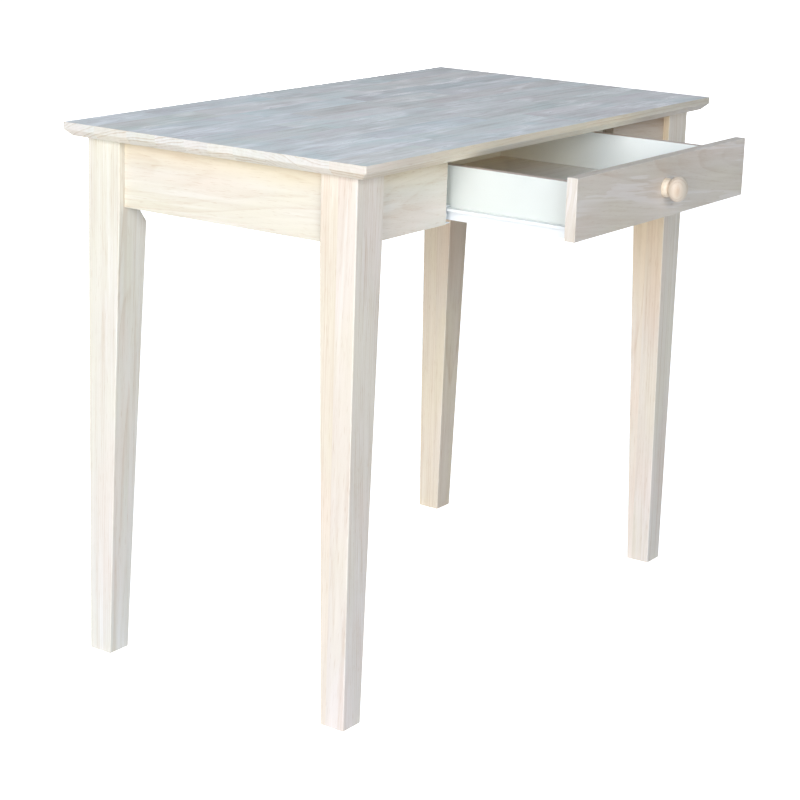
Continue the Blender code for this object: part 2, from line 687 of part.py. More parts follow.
def make_cabinet_slide(side, sx, material):
    """The channel on a rail that the drawer's rollers run in, with a stop on its floor."""
    outer = SEAT_GAP
    floor_in = MEMBER_WEB_OUT - SLIDE_CLEARANCE
    section = [
        (outer, CHANNEL_LOW),
        (floor_in, CHANNEL_LOW),
        (floor_in, CHANNEL_FLOOR),
        (CHANNEL_WEB_IN, CHANNEL_FLOOR),
        (CHANNEL_WEB_IN, CHANNEL_HIGH - SHEET),
        (floor_in, CHANNEL_HIGH - SHEET),
        (floor_in, CHANNEL_HIGH),
        (outer, CHANNEL_HIGH),
    ]
    outline = [(slide_x(sx, distance), z) for distance, z in section]
    channel = run_along_y(outline, CHANNEL_FRONT_Y, CHANNEL_REAR_Y, f"cabinet_slide_{side}", material)
    xs = sorted((slide_x(sx, outer + SHEET / 2), slide_x(sx, ROLLER_IN_HIGH)))
    low = (xs[0], STOP_REAR_Y - STOP_LENGTH, CHANNEL_FLOOR - SHEET / 2)
    high = (xs[1], STOP_REAR_Y, CHANNEL_FLOOR + STOP_HEIGHT)
    cut(channel, box_cutter(f"stop_{side}", low, high), operation="UNION")
    reach = SHEET + 2 * CUT_OVERRUN
    outward = (sx, 0, 0)
    start = slide_x(sx, CHANNEL_WEB_IN + CUT_OVERRUN)
    pin = Vector((start, FRONT_ROLLER_Y, FRONT_ROLLER_Z))
    cut(channel, rod_cutter(f"pin_channel_{side}", pin, outward, reach, PIN_RADIUS + SEAT_GAP))
    for end, place in channel_screw_places(sx).items():
        cut(channel, screw_hole(f"channel_{side}_{end}", place, outward, CUT_OVERRUN))
    return channel


def make_drawer_slide(side, sx, material):
    """The bent strip under a drawer side, whose upper flange runs on the cabinet roller."""
    web_in = MEMBER_WEB_OUT + SHEET
    section = [
        (MEMBER_WEB_OUT, MEMBER_LOW),
        (SLIDE_SPACE + SIDE_THICK, MEMBER_LOW),
        (SLIDE_SPACE + SIDE_THICK, MEMBER_LOW + SHEET),
        (web_in, MEMBER_LOW + SHEET),
        (web_in, MEMBER_HIGH),
        (MEMBER_LIP_OUT, MEMBER_HIGH),
        (MEMBER_LIP_OUT, MEMBER_HIGH - MEMBER_LIP),
        (MEMBER_LIP_OUT + SHEET, MEMBER_HIGH - MEMBER_LIP),
        (MEMBER_LIP_OUT + SHEET, MEMBER_HIGH - SHEET),
        (MEMBER_WEB_OUT, MEMBER_HIGH - SHEET),
    ]
    outline = [(slide_x(sx, distance), z) for distance, z in section]
    member = run_along_y(outline, MEMBER_FRONT_Y, MEMBER_REAR_Y, f"drawer_slide_{side}", material)
    start = slide_x(sx, MEMBER_WEB_OUT - SLIDE_CLEARANCE)
    pin = Vector((start, REAR_ROLLER_Y, REAR_ROLLER_Z))
    reach = SLIDE_CLEARANCE + SHEET + SEAT_GAP
    cut(member, rod_cutter(f"pin_member_{side}", pin, (-sx, 0, 0), reach, PIN_RADIUS + SEAT_GAP))
    for end, place in member_screw_places(sx).items():
        cut(member, screw_hole(f"member_{side}_{end}", place, UP, SHEET + SEAT_GAP))
    return member


def make_roller(name, sx, y, z, material):
    """A nylon roller, spun about X on its pin."""
    half = ROLLER_WIDTH / 2
    bore = PIN_RADIUS + RUNNING_GAP
    profile = [
        (bore, half),
        (ROLLER_RADIUS - ROLLER_EASE, half),
        (ROLLER_RADIUS, half - ROLLER_EASE),
        (ROLLER_RADIUS, ROLLER_EASE - half),
        (ROLLER_RADIUS - ROLLER_EASE, -half),
        (bore, -half),
    ]
    middle = (slide_x(sx, (ROLLER_IN_LOW + ROLLER_IN_HIGH) / 2), y, z)
    return turned(name, profile, material, middle, (1, 0, 0), sides=ROLLER_SIDES, ring=True)


def make_roller_pin(name, sx, y, z, web, far, material):
    """A riveted pin: a stub in the member's web, a shoulder, the roller's axle and a head.

    web holds the two faces of the web, the roller's side first, and far the roller's far face,
    all as distances in from the rail.
    """
    toward = 1 if far > web[0] else -1
    near_face = ROLLER_IN_LOW if toward > 0 else ROLLER_IN_HIGH
    stub = abs(web[0] - web[1]) - SEAT_GAP
    shoulder_high = abs(near_face - web[0]) - RUNNING_GAP
    head_low = abs(far - web[0]) + RUNNING_GAP
    profile = [
        (0, head_low + PIN_HEAD_THICK),
        (PIN_HEAD_RADIUS, head_low + PIN_HEAD_THICK),
        (PIN_HEAD_RADIUS, head_low),
        (PIN_RADIUS, head_low),
        (PIN_RADIUS, shoulder_high),
        (PIN_HEAD_RADIUS, shoulder_high),
        (PIN_HEAD_RADIUS, SEAT_GAP),
        (PIN_RADIUS, SEAT_GAP),
        (PIN_RADIUS, -stub),
        (0, -stub),
    ]
    start = (slide_x(sx, web[0]), y, z)
    return turned(name, profile, material, start, (-sx * toward, 0, 0))


def make_frame(wood, plain_wood, steel):
    """Everything that stands still, apart from the slides."""
    make_tabletop(wood)
    for name, sx, sy in CORNERS:
        make_leg(name, sx, sy, wood)
        make_corner_block(name, sx, sy, plain_wood)
        make_hanger_bolt(name, sx, sy, steel)
        make_hanger_nut(name, sx, sy, steel)
        make_top_screw(name, sx, sy, steel)
    make_back_apron(wood)
    for side, sx in SIDES.items():
        make_end_apron(side, sx, wood)
        make_front_panel(side, sx, wood)
        make_slide_rail(side, sx, plain_wood)


def make_cabinet_slides(painted, nylon, steel):
    """The fixed half of each slide, with its roller."""
    for side, sx in SIDES.items():
        make_cabinet_slide(side, sx, painted)
        make_roller(f"cabinet_roller_{side}", sx, FRONT_ROLLER_Y, FRONT_ROLLER_Z, nylon)
        web = (CHANNEL_WEB_IN, SEAT_GAP)
        pin_name = f"cabinet_roller_pin_{side}"
        make_roller_pin(pin_name, sx, FRONT_ROLLER_Y, FRONT_ROLLER_Z, web, ROLLER_IN_HIGH, steel)
        for end, place in channel_screw_places(sx).items():
            name = f"cabinet_slide_screw_{side}_{end}"
            wood_screw(name, RAIL_SCREW_LENGTH, steel, place, (sx, 0, 0))


def make_drawer(wood, white, grey_wood, painted, nylon, steel):
    """The drawer with its half of each slide, hung on an empty on the slide's axis."""
    pieces = [
        make_drawer_front(wood),
        make_drawer_bottom(grey_wood),
        make_box_end("drawer_back", BOX_REAR_Y - SIDE_THICK, white),
        make_knob(wood),
        make_knob_screw(steel),
    ]
    box_front = make_box_end("drawer_box_front", BOX_FRONT_Y, white)
    cut(box_front, *front_holes("box"))
    pieces.append(box_front)
    for side, sx in SIDES.items():
        pieces.append(make_drawer_side(side, sx, white))
        pieces.append(make_drawer_slide(side, sx, painted))
        pieces.append(make_roller(f"drawer_roller_{side}", sx, REAR_ROLLER_Y, REAR_ROLLER_Z, nylon))
        web = (MEMBER_WEB_OUT, MEMBER_WEB_OUT + SHEET)
        pin_name = f"drawer_roller_pin_{side}"
        pin = make_roller_pin(pin_name, sx, REAR_ROLLER_Y, REAR_ROLLER_Z, web, ROLLER_IN_LOW, steel)
        pieces.append(pin)
        screw_name = f"front_screw_{side}"
        screw = wood_screw(screw_name, front_screw_length(), steel, front_screw_place(sx), (0, -1, 0))
        pieces.append(screw)
        for end, place in member_screw_places(sx).items():
            name = f"drawer_slide_screw_{side}_{end}"
            pieces.append(wood_screw(name, SIDE_SCREW_LENGTH, steel, place, UP))
    runner = bpy.data.objects.new("drawer_runner", None)
    runner.location = (0, FRONT_REAR_Y, MEMBER_HIGH)
    PARTS.objects.link(runner)
    hang_on(runner, pieces)


clear_scene()
PARTS = new_collection("writing_table")
CUTTERS = new_collection("writing_table_cutters")
BARE_WOOD = finish("bare_wood", (0.76, 0.66, 0.53), 0.55)
BLOCK_WOOD = finish("block_wood", (0.66, 0.54, 0.40), 0.65)
GREY_WOOD = finish("drawer_bottom_wood", (0.50, 0.46, 0.42), 0.55)
WHITE_BOARD = finish("white_board", (0.90, 0.91, 0.89), 0.45)
WHITE_STEEL = finish("white_painted_steel", (0.90, 0.92, 0.94), 0.35)
NYLON = finish("white_nylon", (0.88, 0.88, 0.86), 0.40)
ZINC = finish("zinc_steel", (0.62, 0.62, 0.60), 0.35, metallic=1.0)
make_frame(BARE_WOOD, BLOCK_WOOD, ZINC)
make_cabinet_slides(WHITE_STEEL, NYLON, ZINC)
make_drawer(BARE_WOOD, WHITE_BOARD, GREY_WOOD, WHITE_STEEL, NYLON, ZINC)
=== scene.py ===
"""Dressed writing table: bare stave-glued hardwood, four tapered legs and one drawer on white roller slides.

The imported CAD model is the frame. Each class below dresses one sub-assembly: it takes the shape and the
place of its CAD nodes, eases their edges, lays the grain board by board and gives the finish. Lengths are in
metres, X runs along the table's width, the drawer opens towards -Y and Z is up.
"""

import logging
import math
import random
from collections.abc import Callable, Sequence
from dataclasses import dataclass, field, replace
from enum import Enum

import bmesh
import bpy
from mathutils import Matrix, Vector

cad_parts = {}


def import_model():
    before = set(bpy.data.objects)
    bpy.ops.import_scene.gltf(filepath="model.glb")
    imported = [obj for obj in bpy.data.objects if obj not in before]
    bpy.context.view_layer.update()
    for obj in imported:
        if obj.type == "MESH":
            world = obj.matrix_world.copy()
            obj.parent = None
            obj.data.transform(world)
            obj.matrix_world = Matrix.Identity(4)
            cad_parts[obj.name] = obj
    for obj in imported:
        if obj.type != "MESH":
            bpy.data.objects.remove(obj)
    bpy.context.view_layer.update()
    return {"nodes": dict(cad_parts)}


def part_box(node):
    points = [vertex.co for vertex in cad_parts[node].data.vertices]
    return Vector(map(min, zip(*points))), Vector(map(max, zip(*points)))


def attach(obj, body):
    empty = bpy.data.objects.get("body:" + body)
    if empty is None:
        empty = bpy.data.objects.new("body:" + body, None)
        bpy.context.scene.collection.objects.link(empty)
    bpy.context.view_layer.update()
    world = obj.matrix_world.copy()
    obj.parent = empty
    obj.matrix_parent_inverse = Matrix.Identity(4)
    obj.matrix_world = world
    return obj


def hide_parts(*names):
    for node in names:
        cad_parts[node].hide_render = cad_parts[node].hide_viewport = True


LOG = logging.getLogger("writing_table")

Colour = tuple[float, float, float]
Triple = tuple[float, float, float]
Range = tuple[float, float]
Material = bpy.types.Material
Socket = bpy.types.NodeSocket
Sockets = bpy.types.bpy_prop_collection
Value = float | Sequence[float] | Socket
Edge = bmesh.types.BMEdge
Fade = Callable[[Vector, Vector], Colour]

SIDES = {"left": -1, "right": 1}
CORNERS = ("front_left", "front_right", "back_left", "back_right")
PLAIN: Colour = (1.0, 1.0, 1.0)
# Points closer than this are one point.
WELD = 0.000002
# A face leans to a side, or looks squarely at it, where its normal has more than this along that side.
LEANING = 0.3
SQUARE_ON = 0.9
# End grain grows with the share of a face's normal along the grain, by this slope and from this offset.
END_SLOPE = 1.6
END_OFFSET = 0.3
# Places of the colour sockets on Blender's mixing node.
MIX_SHARE, MIX_FIRST, MIX_SECOND, MIX_RESULT = 0, 6, 7, 2


def blend_tints(first: Colour, second: Colour, share: float) -> Colour:
    """Mixes two tints.

    Args:
        first: the tint at 0 and below.
        second: the tint at 1 and above.
        share: how much of the second.

    Returns:
        The mixed tint.
    """
    share = min(1.0, max(0.0, share))
    return tuple(one + share * (two - one) for one, two in zip(first, second))


class Body(Enum):
    """The CAD bodies that pieces ride on."""

    FRAME = "frame"
    DRAWER = "drawer"
    CABINET_ROLLER_LEFT = "cabinet_roller_left"
    CABINET_ROLLER_RIGHT = "cabinet_roller_right"
    DRAWER_ROLLER_LEFT = "drawer_roller_left"
    DRAWER_ROLLER_RIGHT = "drawer_roller_right"


class Slot(Enum):
    """Names of the material slots."""

    BARE_WOOD = "bare_wood"
    BLOCK_WOOD = "block_wood"
    DRAWER_BOTTOM = "drawer_bottom_wood"
    WHITE_BOARD = "white_board"
    PAINTED_STEEL = "white_painted_steel"
    NYLON = "white_nylon"
    ZINC = "zinc_steel"


class Along(Enum):
    """The direction that a board's grain runs in."""

    X = (0, 1, 2)
    Y = (1, 0, 2)
    Z = (2, 0, 1)

    def turn(self, point: Vector) -> Vector:
        """Puts the coordinate along the grain first."""
        return Vector([point[axis] for axis in self.value])

    def end_share(self, normal: Vector) -> float:
        """Tells how far a face shows end grain, 0 to 1."""
        return min(1.0, max(0.0, abs(normal[self.value[0]]) * END_SLOPE - END_OFFSET))


class Rounding(Enum):
    """How many flat strips an eased edge is made of."""

    CHAMFER = 1
    SOFT = 2
    ROUND = 3


@dataclass(frozen=True)
class Stick:
    """One stick or stave of wood: how its grain lies and how it departs from the usual colour."""

    along: Along
    pith: Range
    slope: Range = (0.0, 0.0)
    start: float = 0.0
    tint: Colour = PLAIN

    def stained(self, tint: Colour) -> "Stick":
        """Gives the same stick with one more tint."""
        return replace(self, tint=tuple(own * more for own, more in zip(self.tint, tint)))

    def grain_at(self, point: Vector) -> Vector:
        """Places a point of the board in its tree.

        Args:
            point: the point in the row frame.

        Returns:
            Distance along the trunk, then the two distances from its pith.
        """
        run, across, deep = self.along.turn(point)
        return Vector((
            run + self.start,
            across - self.pith[0] + self.slope[0] * run,
            deep - self.pith[1] + self.slope[1] * run,
        ))


@dataclass
class StickPile:
    """A seeded pile that sticks are drawn from, so that each run gives the same table."""

    seed: int
    pith_reach: Range = (0.05, 0.16)
    slope_reach: float = 0.03
    start_reach: float = 40.0
    warm_share: float = 0.45
    rose_share: float = 0.25
    dice: random.Random = field(init=False)

    def __post_init__(self) -> None:
        """Seeds the dice."""
        self.dice = random.Random(self.seed)

    def draw(self, along: Along, tint: Colour = PLAIN, spread: float = 0.03) -> Stick:
        """Takes the next stick.

        Args:
            along: direction of its grain.
            tint: colour that its own small difference is added to.
            spread: how far its shade may depart from that colour.

        Returns:
            A stick with its own pith, slope and shade.
        """
        dice = self.dice
        turn = dice.uniform(0, math.tau)
        away = dice.uniform(*self.pith_reach)
        shade = dice.uniform(-spread, spread)
        warm = dice.uniform(-spread, spread) * self.warm_share
        rose = dice.uniform(-spread, spread) * self.rose_share
        slope = self.slope_reach
        return Stick(
            along=along,
            pith=(away * math.cos(turn), away * math.sin(turn)),
            slope=(dice.uniform(-slope, slope), dice.uniform(-slope, slope)),
            start=dice.uniform(-self.start_reach, self.start_reach),
            tint=(
                tint[0] * (1 + shade + warm),
                tint[1] * (1 + shade - rose),
                tint[2] * (1 + shade - warm),
            ),
        )


class Graph:
    """A shader tree with short calls for the nodes that the finishes use."""

    def __init__(self, tree: bpy.types.NodeTree) -> None:
        """Keeps the tree that the nodes go into."""
        self.tree = tree

    def node(self, kind: str, **settings: object) -> bpy.types.Node:
        """Adds one node.

        Args:
            kind: the node's type after the word ShaderNode.
            settings: properties to set on it.

        Returns:
            The new node.
        """
        made = self.tree.nodes.new("ShaderNode" + kind)
        for name, value in settings.items():
            setattr(made, name, value)
        return made

    def feed(self, target: Socket, value: Value) -> None:
        """Links a socket, or sets a plain value, on an input.

        Args:
            target: the input.
            value: what it takes.
        """
        if isinstance(value, Socket):
            self.tree.links.new(value, target)
        else:
            target.default_value = value

    def maths(
        self, operation: str, first: Value, second: Value = 0.0, third: Value = 0.0
    ) -> Socket:
        """Adds one sum.

        Args:
            operation: name of the sum, as Blender gives it.
            first: first number.
            second: second number.
            third: third number, for the sums that take one.

        Returns:
            The result's socket.
        """
        made = self.node("Math", operation=operation)
        for target, value in zip(made.inputs, (first, second, third)):
            self.feed(target, value)
        return made.outputs[0]

    def times(self, first: Value, second: Value) -> Socket:
        """Multiplies two numbers."""
        return self.maths("MULTIPLY", first, second)

    def stretch(self, vector: Value, scale: Triple) -> Socket:
        """Multiplies a vector by a scale for each axis.

        Args:
            vector: the vector.
            scale: a factor for each axis.

        Returns:
            The stretched vector's socket.
        """
        made = self.node("VectorMath", operation="MULTIPLY")
        self.feed(made.inputs[0], vector)
        made.inputs[1].default_value = scale
        return made.outputs[0]

    def noise(self, vector: Value, scale: Triple, detail: float = 2.0) -> Socket:
        """Adds cloudy noise.

        Args:
            vector: where it is read.
            scale: how many cells to a metre on each axis.
            detail: how many finer layers it has.

        Returns:
            A value about one half.
        """
        made = self.node("TexNoise")
        made.inputs["Scale"].default_value = 1.0
        made.inputs["Detail"].default_value = detail
        self.feed(made.inputs["Vector"], self.stretch(vector, scale))
        return made.outputs["Fac"]

    def span(
        self, value: Value, low: float, high: float, first: float = 0.0, last: float = 1.0
    ) -> Socket:
        """Maps a range smoothly to another.

        Args:
            value: the number.
            low: where the first range starts.
            high: where it ends.
            first: what its start becomes.
            last: what its end becomes.

        Returns:
            The mapped number's socket.
        """
        made = self.node("MapRange", interpolation_type="SMOOTHSTEP")
        self.feed(made.inputs["Value"], value)
        for name, number in (("From Min", low), ("From Max", high), ("To Min", first), ("To Max", last)):
            made.inputs[name].default_value = number
        return made.outputs["Result"]

    def blend(self, share: Value, first: Value, second: Value, way: str = "MIX") -> Socket:
        """Mixes two colours.

        Args:
            share: how much of the second.
            first: first colour.
            second: second colour.
            way: blend mode.

        Returns:
            The mixed colour's socket.
        """
        made = self.node("Mix", data_type="RGBA", blend_type=way)
        for index, value in ((MIX_SHARE, share), (MIX_FIRST, first), (MIX_SECOND, second)):
            if isinstance(value, tuple) and len(value) == 3:
                value = (*value, 1.0)
            self.feed(made.inputs[index], value)
        return made.outputs[MIX_RESULT]

    def ramp(self, value: Value, stops: Sequence[tuple[float, Colour]]) -> Socket:
        """Turns a value into a colour.

        Args:
            value: the number, 0 to 1.
            stops: places on the way and their colours.

        Returns:
            The colour's socket.
        """
        made = self.node("ValToRGB")
        points = made.color_ramp.elements
        while len(points) < len(stops):
            points.new(0.5)
        for point, (place, colour) in zip(points, stops):
            point.position = place
            point.color = (*colour, 1.0)
        self.feed(made.inputs["Fac"], value)
        return made.outputs["Color"]

    def attribute(self, name: str, output: str) -> Socket:
        """Reads a value that is stored on the mesh."""
        return self.node("Attribute", attribute_name=name).outputs[output]

    def raise_surface(self, shader: bpy.types.Node, height: Value, depth: float, strength: float) -> None:
        """Gives a shader fine relief.

        Args:
            shader: the material's shader.
            height: how high the surface stands.
            depth: the relief's depth in metres.
            strength: how far it shows, 0 to 1.
        """
        bump = self.node("Bump")
        bump.inputs["Strength"].default_value = strength
        bump.inputs["Distance"].default_value = depth
        self.feed(bump.inputs["Height"], height)
        self.feed(shader.inputs["Normal"], bump.outputs["Normal"])


@dataclass(frozen=True)
class Port:
    """A named input or output of a shared effect."""

    label: str
    kind: str = "NodeSocketFloat"


class SharedEffect:
    """A shader node group that several finishes place with their own values."""

    name = "shared_effect"
    takes: Sequence[Port] = ()
    gives: Sequence[Port] = ()

    def __init__(self) -> None:
        """Builds the group once."""
        tree = bpy.data.node_groups.new(self.name, "ShaderNodeTree")
        for port in self.takes:
            tree.interface.new_socket(port.label, in_out="INPUT", socket_type=port.kind)
        for port in self.gives:
            tree.interface.new_socket(port.label, in_out="OUTPUT", socket_type=port.kind)
        graph = Graph(tree)
        entry = tree.nodes.new("NodeGroupInput")
        leave = tree.nodes.new("NodeGroupOutput")
        for label, socket in self.wire(graph, entry.outputs).items():
            tree.links.new(socket, leave.inputs[label])
        self.tree = tree

    def wire(self, graph: Graph, given: Sockets) -> dict[str, Socket]:
        """Wires the group's nodes.

        Args:
            graph: the group's tree.
            given: the group's inputs.

        Returns:
            A socket for each output.
        """
        raise NotImplementedError

    def place(self, graph: Graph, **values: Value) -> Sockets:
        """Puts the effect into a material.

        Args:
            graph: the material's tree.
            values: what each input takes, with _ for the spaces in its name.

        Returns:
            The effect's outputs.
        """
        made = graph.node("Group")
        made.node_tree = self.tree
        for label, value in values.items():
            graph.feed(made.inputs[label.replace("_", " ")], value)
        return made.outputs


class TimberFigure(SharedEffect):
    """Growth rings, streaks, fibres and open pores of solid wood, and pale flecks of painted sheen, in the
    coordinates of its tree.
    """

    name = "timber_figure"
    takes = (
        Port("Grain", "NodeSocketVector"),
        Port("Ring Width"),
        Port("Ring Strength"),
        Port("Streak Strength"),
        Port("Pore Strength"),
        Port("End Grain"),
    )
    gives = (Port("Shade"), Port("Painted Sheen Fleck"), Port("Drift"), Port("Height"))
    wander_scale: Triple = (2.2, 17.0, 17.0)
    wander_reach: float = 0.014
    late_power: float = 2.4
    late_fall: Range = (0.86, 1.0)
    late_mean: float = 0.2
    luck_gain: Range = (0.8, 0.2)
    end_gain: float = 2.0
    streak_scale: Triple = (2.6, 150.0, 150.0)
    streak_share: float = 0.62
    cloud_scale: Triple = (5.0, 26.0, 26.0)
    cloud_share: float = 0.38
    fibre_scale: Triple = (13.0, 620.0, 620.0)
    fibre_share: float = 0.35
    fibre_height: float = 0.5
    pore_scale: Triple = (42.0, 1150.0, 1150.0)
    pore_range: Range = (0.60, 0.74)
    pore_height: float = 0.6
    base_shade: float = 0.4
    sheen_fleck_scale: Triple = (6.0, 185.0, 185.0)
    sheen_fleck_range: Range = (0.49, 0.55)
    sheen_fleck_least: float = 0.12
    patch_scale: Triple = (3.6, 30.0, 30.0)
    patch_range: Range = (0.50, 0.64)
    drift_scale: Triple = (4.0, 15.0, 15.0)

    def wire(self, graph: Graph, given: Sockets) -> dict[str, Socket]:
        """Wires the figure.

        Args:
            graph: the group's tree.
            given: the group's inputs.

        Returns:
            Shade from pale to dark, flecks of painted sheen, slow drift of hue, and height of the fibres.
        """
        grain, end = given["Grain"], given["End Grain"]
        flat = graph.node("VectorMath", operation="LENGTH")
        graph.feed(flat.inputs[0], graph.stretch(grain, (0.0, 1.0, 1.0)))
        wander = graph.noise(grain, self.wander_scale)
        heart = graph.maths("MULTIPLY_ADD", wander, self.wander_reach, flat.outputs["Value"])
        turns = graph.maths("DIVIDE", heart, given["Ring Width"])
        phase = graph.maths("FRACT", turns)
        luck = graph.node("TexWhiteNoise", noise_dimensions="1D")
        graph.feed(luck.inputs["W"], graph.maths("FLOOR", turns))
        fall = graph.span(phase, *self.late_fall, first=1.0, last=0.0)
        late = graph.times(graph.maths("POWER", phase, self.late_power), fall)
        late = graph.times(late, graph.maths("MULTIPLY_ADD", luck.outputs["Value"], *self.luck_gain))
        strength = graph.times(given["Ring Strength"], graph.maths("MULTIPLY_ADD", end, self.end_gain, 1.0))
        rings = graph.times(graph.maths("SUBTRACT", late, self.late_mean), strength)
        streak = graph.times(graph.noise(grain, self.streak_scale, detail=3.0), self.streak_share)
        cloud = graph.times(graph.noise(grain, self.cloud_scale), self.cloud_share)
        streaks = graph.maths("SUBTRACT", graph.maths("ADD", streak, cloud), 0.5)
        streaks = graph.times(streaks, given["Streak Strength"])
        fibre = graph.noise(grain, self.fibre_scale)
        pore = graph.span(graph.noise(grain, self.pore_scale, detail=1.0), *self.pore_range)
        pores = graph.maths("MULTIPLY_ADD", fibre, self.fibre_share, pore)
        pores = graph.maths("ADD", graph.times(pores, given["Pore Strength"]), self.base_shade)
        shade = graph.maths("ADD", graph.maths("ADD", rings, streaks), pores)
        painted_sheen_fleck = graph.span(graph.noise(grain, self.sheen_fleck_scale), *self.sheen_fleck_range, first=self.sheen_fleck_least)
        patch = graph.span(graph.noise(grain, self.patch_scale, detail=1.0), *self.patch_range)
        painted_sheen_fleck = graph.times(graph.times(painted_sheen_fleck, patch), graph.maths("SUBTRACT", 1.0, end))
        drift = graph.noise(grain, self.drift_scale)
        ridge, pit = graph.times(fibre, self.fibre_height), graph.times(pore, self.pore_height)
        height = graph.maths("SUBTRACT", ridge, pit)
        return {"Shade": shade, "Painted Sheen Fleck": painted_sheen_fleck, "Drift": drift, "Height": height}


class EdgeRub(SharedEffect):
    """Where eased edges are rubbed: the edge mark on the mesh, broken up."""

    name = "edge_rub"
    takes = (Port("Edge"), Port("Place", "NodeSocketVector"), Port("Strength"))
    gives = (Port("Rub"),)
    patch_scale: Triple = (90.0, 90.0, 90.0)
    patch_range: Range = (0.38, 0.62)
    patch_least: float = 0.25

    def wire(self, graph: Graph, given: Sockets) -> dict[str, Socket]:
        """Wires the rubbing.

        Args:
            graph: the group's tree.
            given: the group's inputs.

        Returns:
            A mask of the rubbed places.
        """
        patch = graph.noise(given["Place"], self.patch_scale, detail=3.0)
        broken = graph.span(patch, *self.patch_range, first=self.patch_least)
        rub = graph.times(graph.times(given["Edge"], broken), given["Strength"])
        return {"Rub": rub}

    def wear(self, graph: Graph, colour: Value, bare: Colour, place: Socket, strength: float) -> Socket:
        """Bares the rubbed edges of a material.

        Args:
            graph: the material's tree.
            colour: its colour.
            bare: the colour that shows where it is rubbed.
            place: where the pattern is read.
            strength: how far the edges are rubbed, 0 to 1.

        Returns:
            The worn colour's socket.
        """
        edge = graph.attribute("edge", "Fac")
        rubbed = self.place(graph, Edge=edge, Place=place, Strength=strength)["Rub"]
        return graph.blend(rubbed, colour, bare)


class HandMarks(SharedEffect):
    """Faint clouds, dust and fine texture of a coated or moulded surface."""

    name = "hand_marks"
    takes = (Port("Place", "NodeSocketVector"), Port("Fineness"))
    gives = (Port("Cloud"), Port("Dust"), Port("Height"))
    cloud_scale: Triple = (9.0, 9.0, 9.0)
    dust_scale: Triple = (420.0, 420.0, 420.0)
    dust_range: Range = (0.64, 0.74)
    fine_detail: float = 2.0

    def wire(self, graph: Graph, given: Sockets) -> dict[str, Socket]:
        """Wires the marks.

        Args:
            graph: the group's tree.
            given: the group's inputs.

        Returns:
            Soft clouds, sparse dust and a fine height.
        """
        place = given["Place"]
        cloud = graph.noise(place, self.cloud_scale, detail=3.0)
        dust = graph.span(graph.noise(place, self.dust_scale), *self.dust_range)
        fine = graph.node("TexNoise")
        graph.feed(fine.inputs["Vector"], place)
        graph.feed(fine.inputs["Scale"], given["Fineness"])
        fine.inputs["Detail"].default_value = self.fine_detail
        return {"Cloud": cloud, "Dust": dust, "Height": fine.outputs["Fac"]}


@dataclass
class Effects:
    """The shared effects, each built once."""

    timber: TimberFigure = field(default_factory=TimberFigure)
    rub: EdgeRub = field(default_factory=EdgeRub)
    marks: HandMarks = field(default_factory=HandMarks)


def new_material(name: str) -> tuple[Material, Graph, bpy.types.Node]:
    """Starts a finish.

    Args:
        name: the material's name.

    Returns:
        The material, its tree and its shader.
    """
    made = bpy.data.materials.new(name)
    made.use_nodes = True
    return made, Graph(made.node_tree), made.node_tree.nodes["Principled BSDF"]


@dataclass(frozen=True)
class WoodFinish:
    """Solid wood, bare or under a thin matt seal."""

    name: str
    pale: Colour
    middle: Colour
    dark: Colour
    run_scale: float = 1.0
    ring_width: float = 0.0040
    ring_strength: float = 0.46
    streak_strength: float = 1.35
    pore_strength: float = 0.34
    # Pale flecks of painted sheen: their colour and how much of it they take.
    painted_sheen_tint: Colour = (0.92, 0.92, 0.92)
    painted_sheen_share: float = 0.2
    cool: Colour = (0.985, 0.988, 0.93)
    rosy: Colour = (1.0, 0.95, 0.935)
    roughness: Range = (0.42, 0.58)
    neutral: Colour = (0.985, 0.98, 0.97)
    middle_place: float = 0.45
    drift_places: Triple = (0.32, 0.5, 0.68)
    roughness_range: Range = (0.1, 0.9)
    sheen_fleck_polish: float = -0.2
    relief: float = 0.00012
    relief_strength: float = 0.6
    rub: float = 0.3

    def make(self, effects: Effects) -> Material:
        """Builds the material.

        Args:
            effects: the shared effects.

        Returns:
            The material.
        """
        made, graph, shader = new_material(self.name)
        grain = graph.stretch(graph.attribute("grain", "Vector"), (self.run_scale, 1.0, 1.0))
        figure = effects.timber.place(
            graph,
            Grain=grain,
            Ring_Width=self.ring_width,
            Ring_Strength=self.ring_strength,
            Streak_Strength=self.streak_strength,
            Pore_Strength=self.pore_strength,
            End_Grain=graph.attribute("end_grain", "Fac"),
        )
        stops = ((0.0, self.pale), (self.middle_place, self.middle), (1.0, self.dark))
        colour = graph.ramp(figure["Shade"], stops)
        hues = tuple(zip(self.drift_places, (self.cool, self.neutral, self.rosy)))
        colour = graph.blend(1.0, colour, graph.ramp(figure["Drift"], hues), "MULTIPLY")
        # Pale flecks along the grain are painted sheen: the colour is lifted where the wood would catch the
        # light, and their roughness drops.
        painted_sheen_fleck = graph.times(figure["Painted Sheen Fleck"], self.painted_sheen_share)
        colour = graph.blend(painted_sheen_fleck, colour, self.painted_sheen_tint)
        colour = graph.blend(1.0, colour, graph.attribute("tint", "Color"), "MULTIPLY")
        colour = effects.rub.wear(graph, colour, self.pale, grain, self.rub)
        graph.feed(shader.inputs["Base Color"], colour)
        rough = graph.span(figure["Shade"], *self.roughness_range, *self.roughness)
        graph.feed(shader.inputs["Roughness"], graph.maths("MULTIPLY_ADD", painted_sheen_fleck, self.sheen_fleck_polish, rough))
        graph.raise_surface(shader, figure["Height"], self.relief, self.relief_strength)
        return made


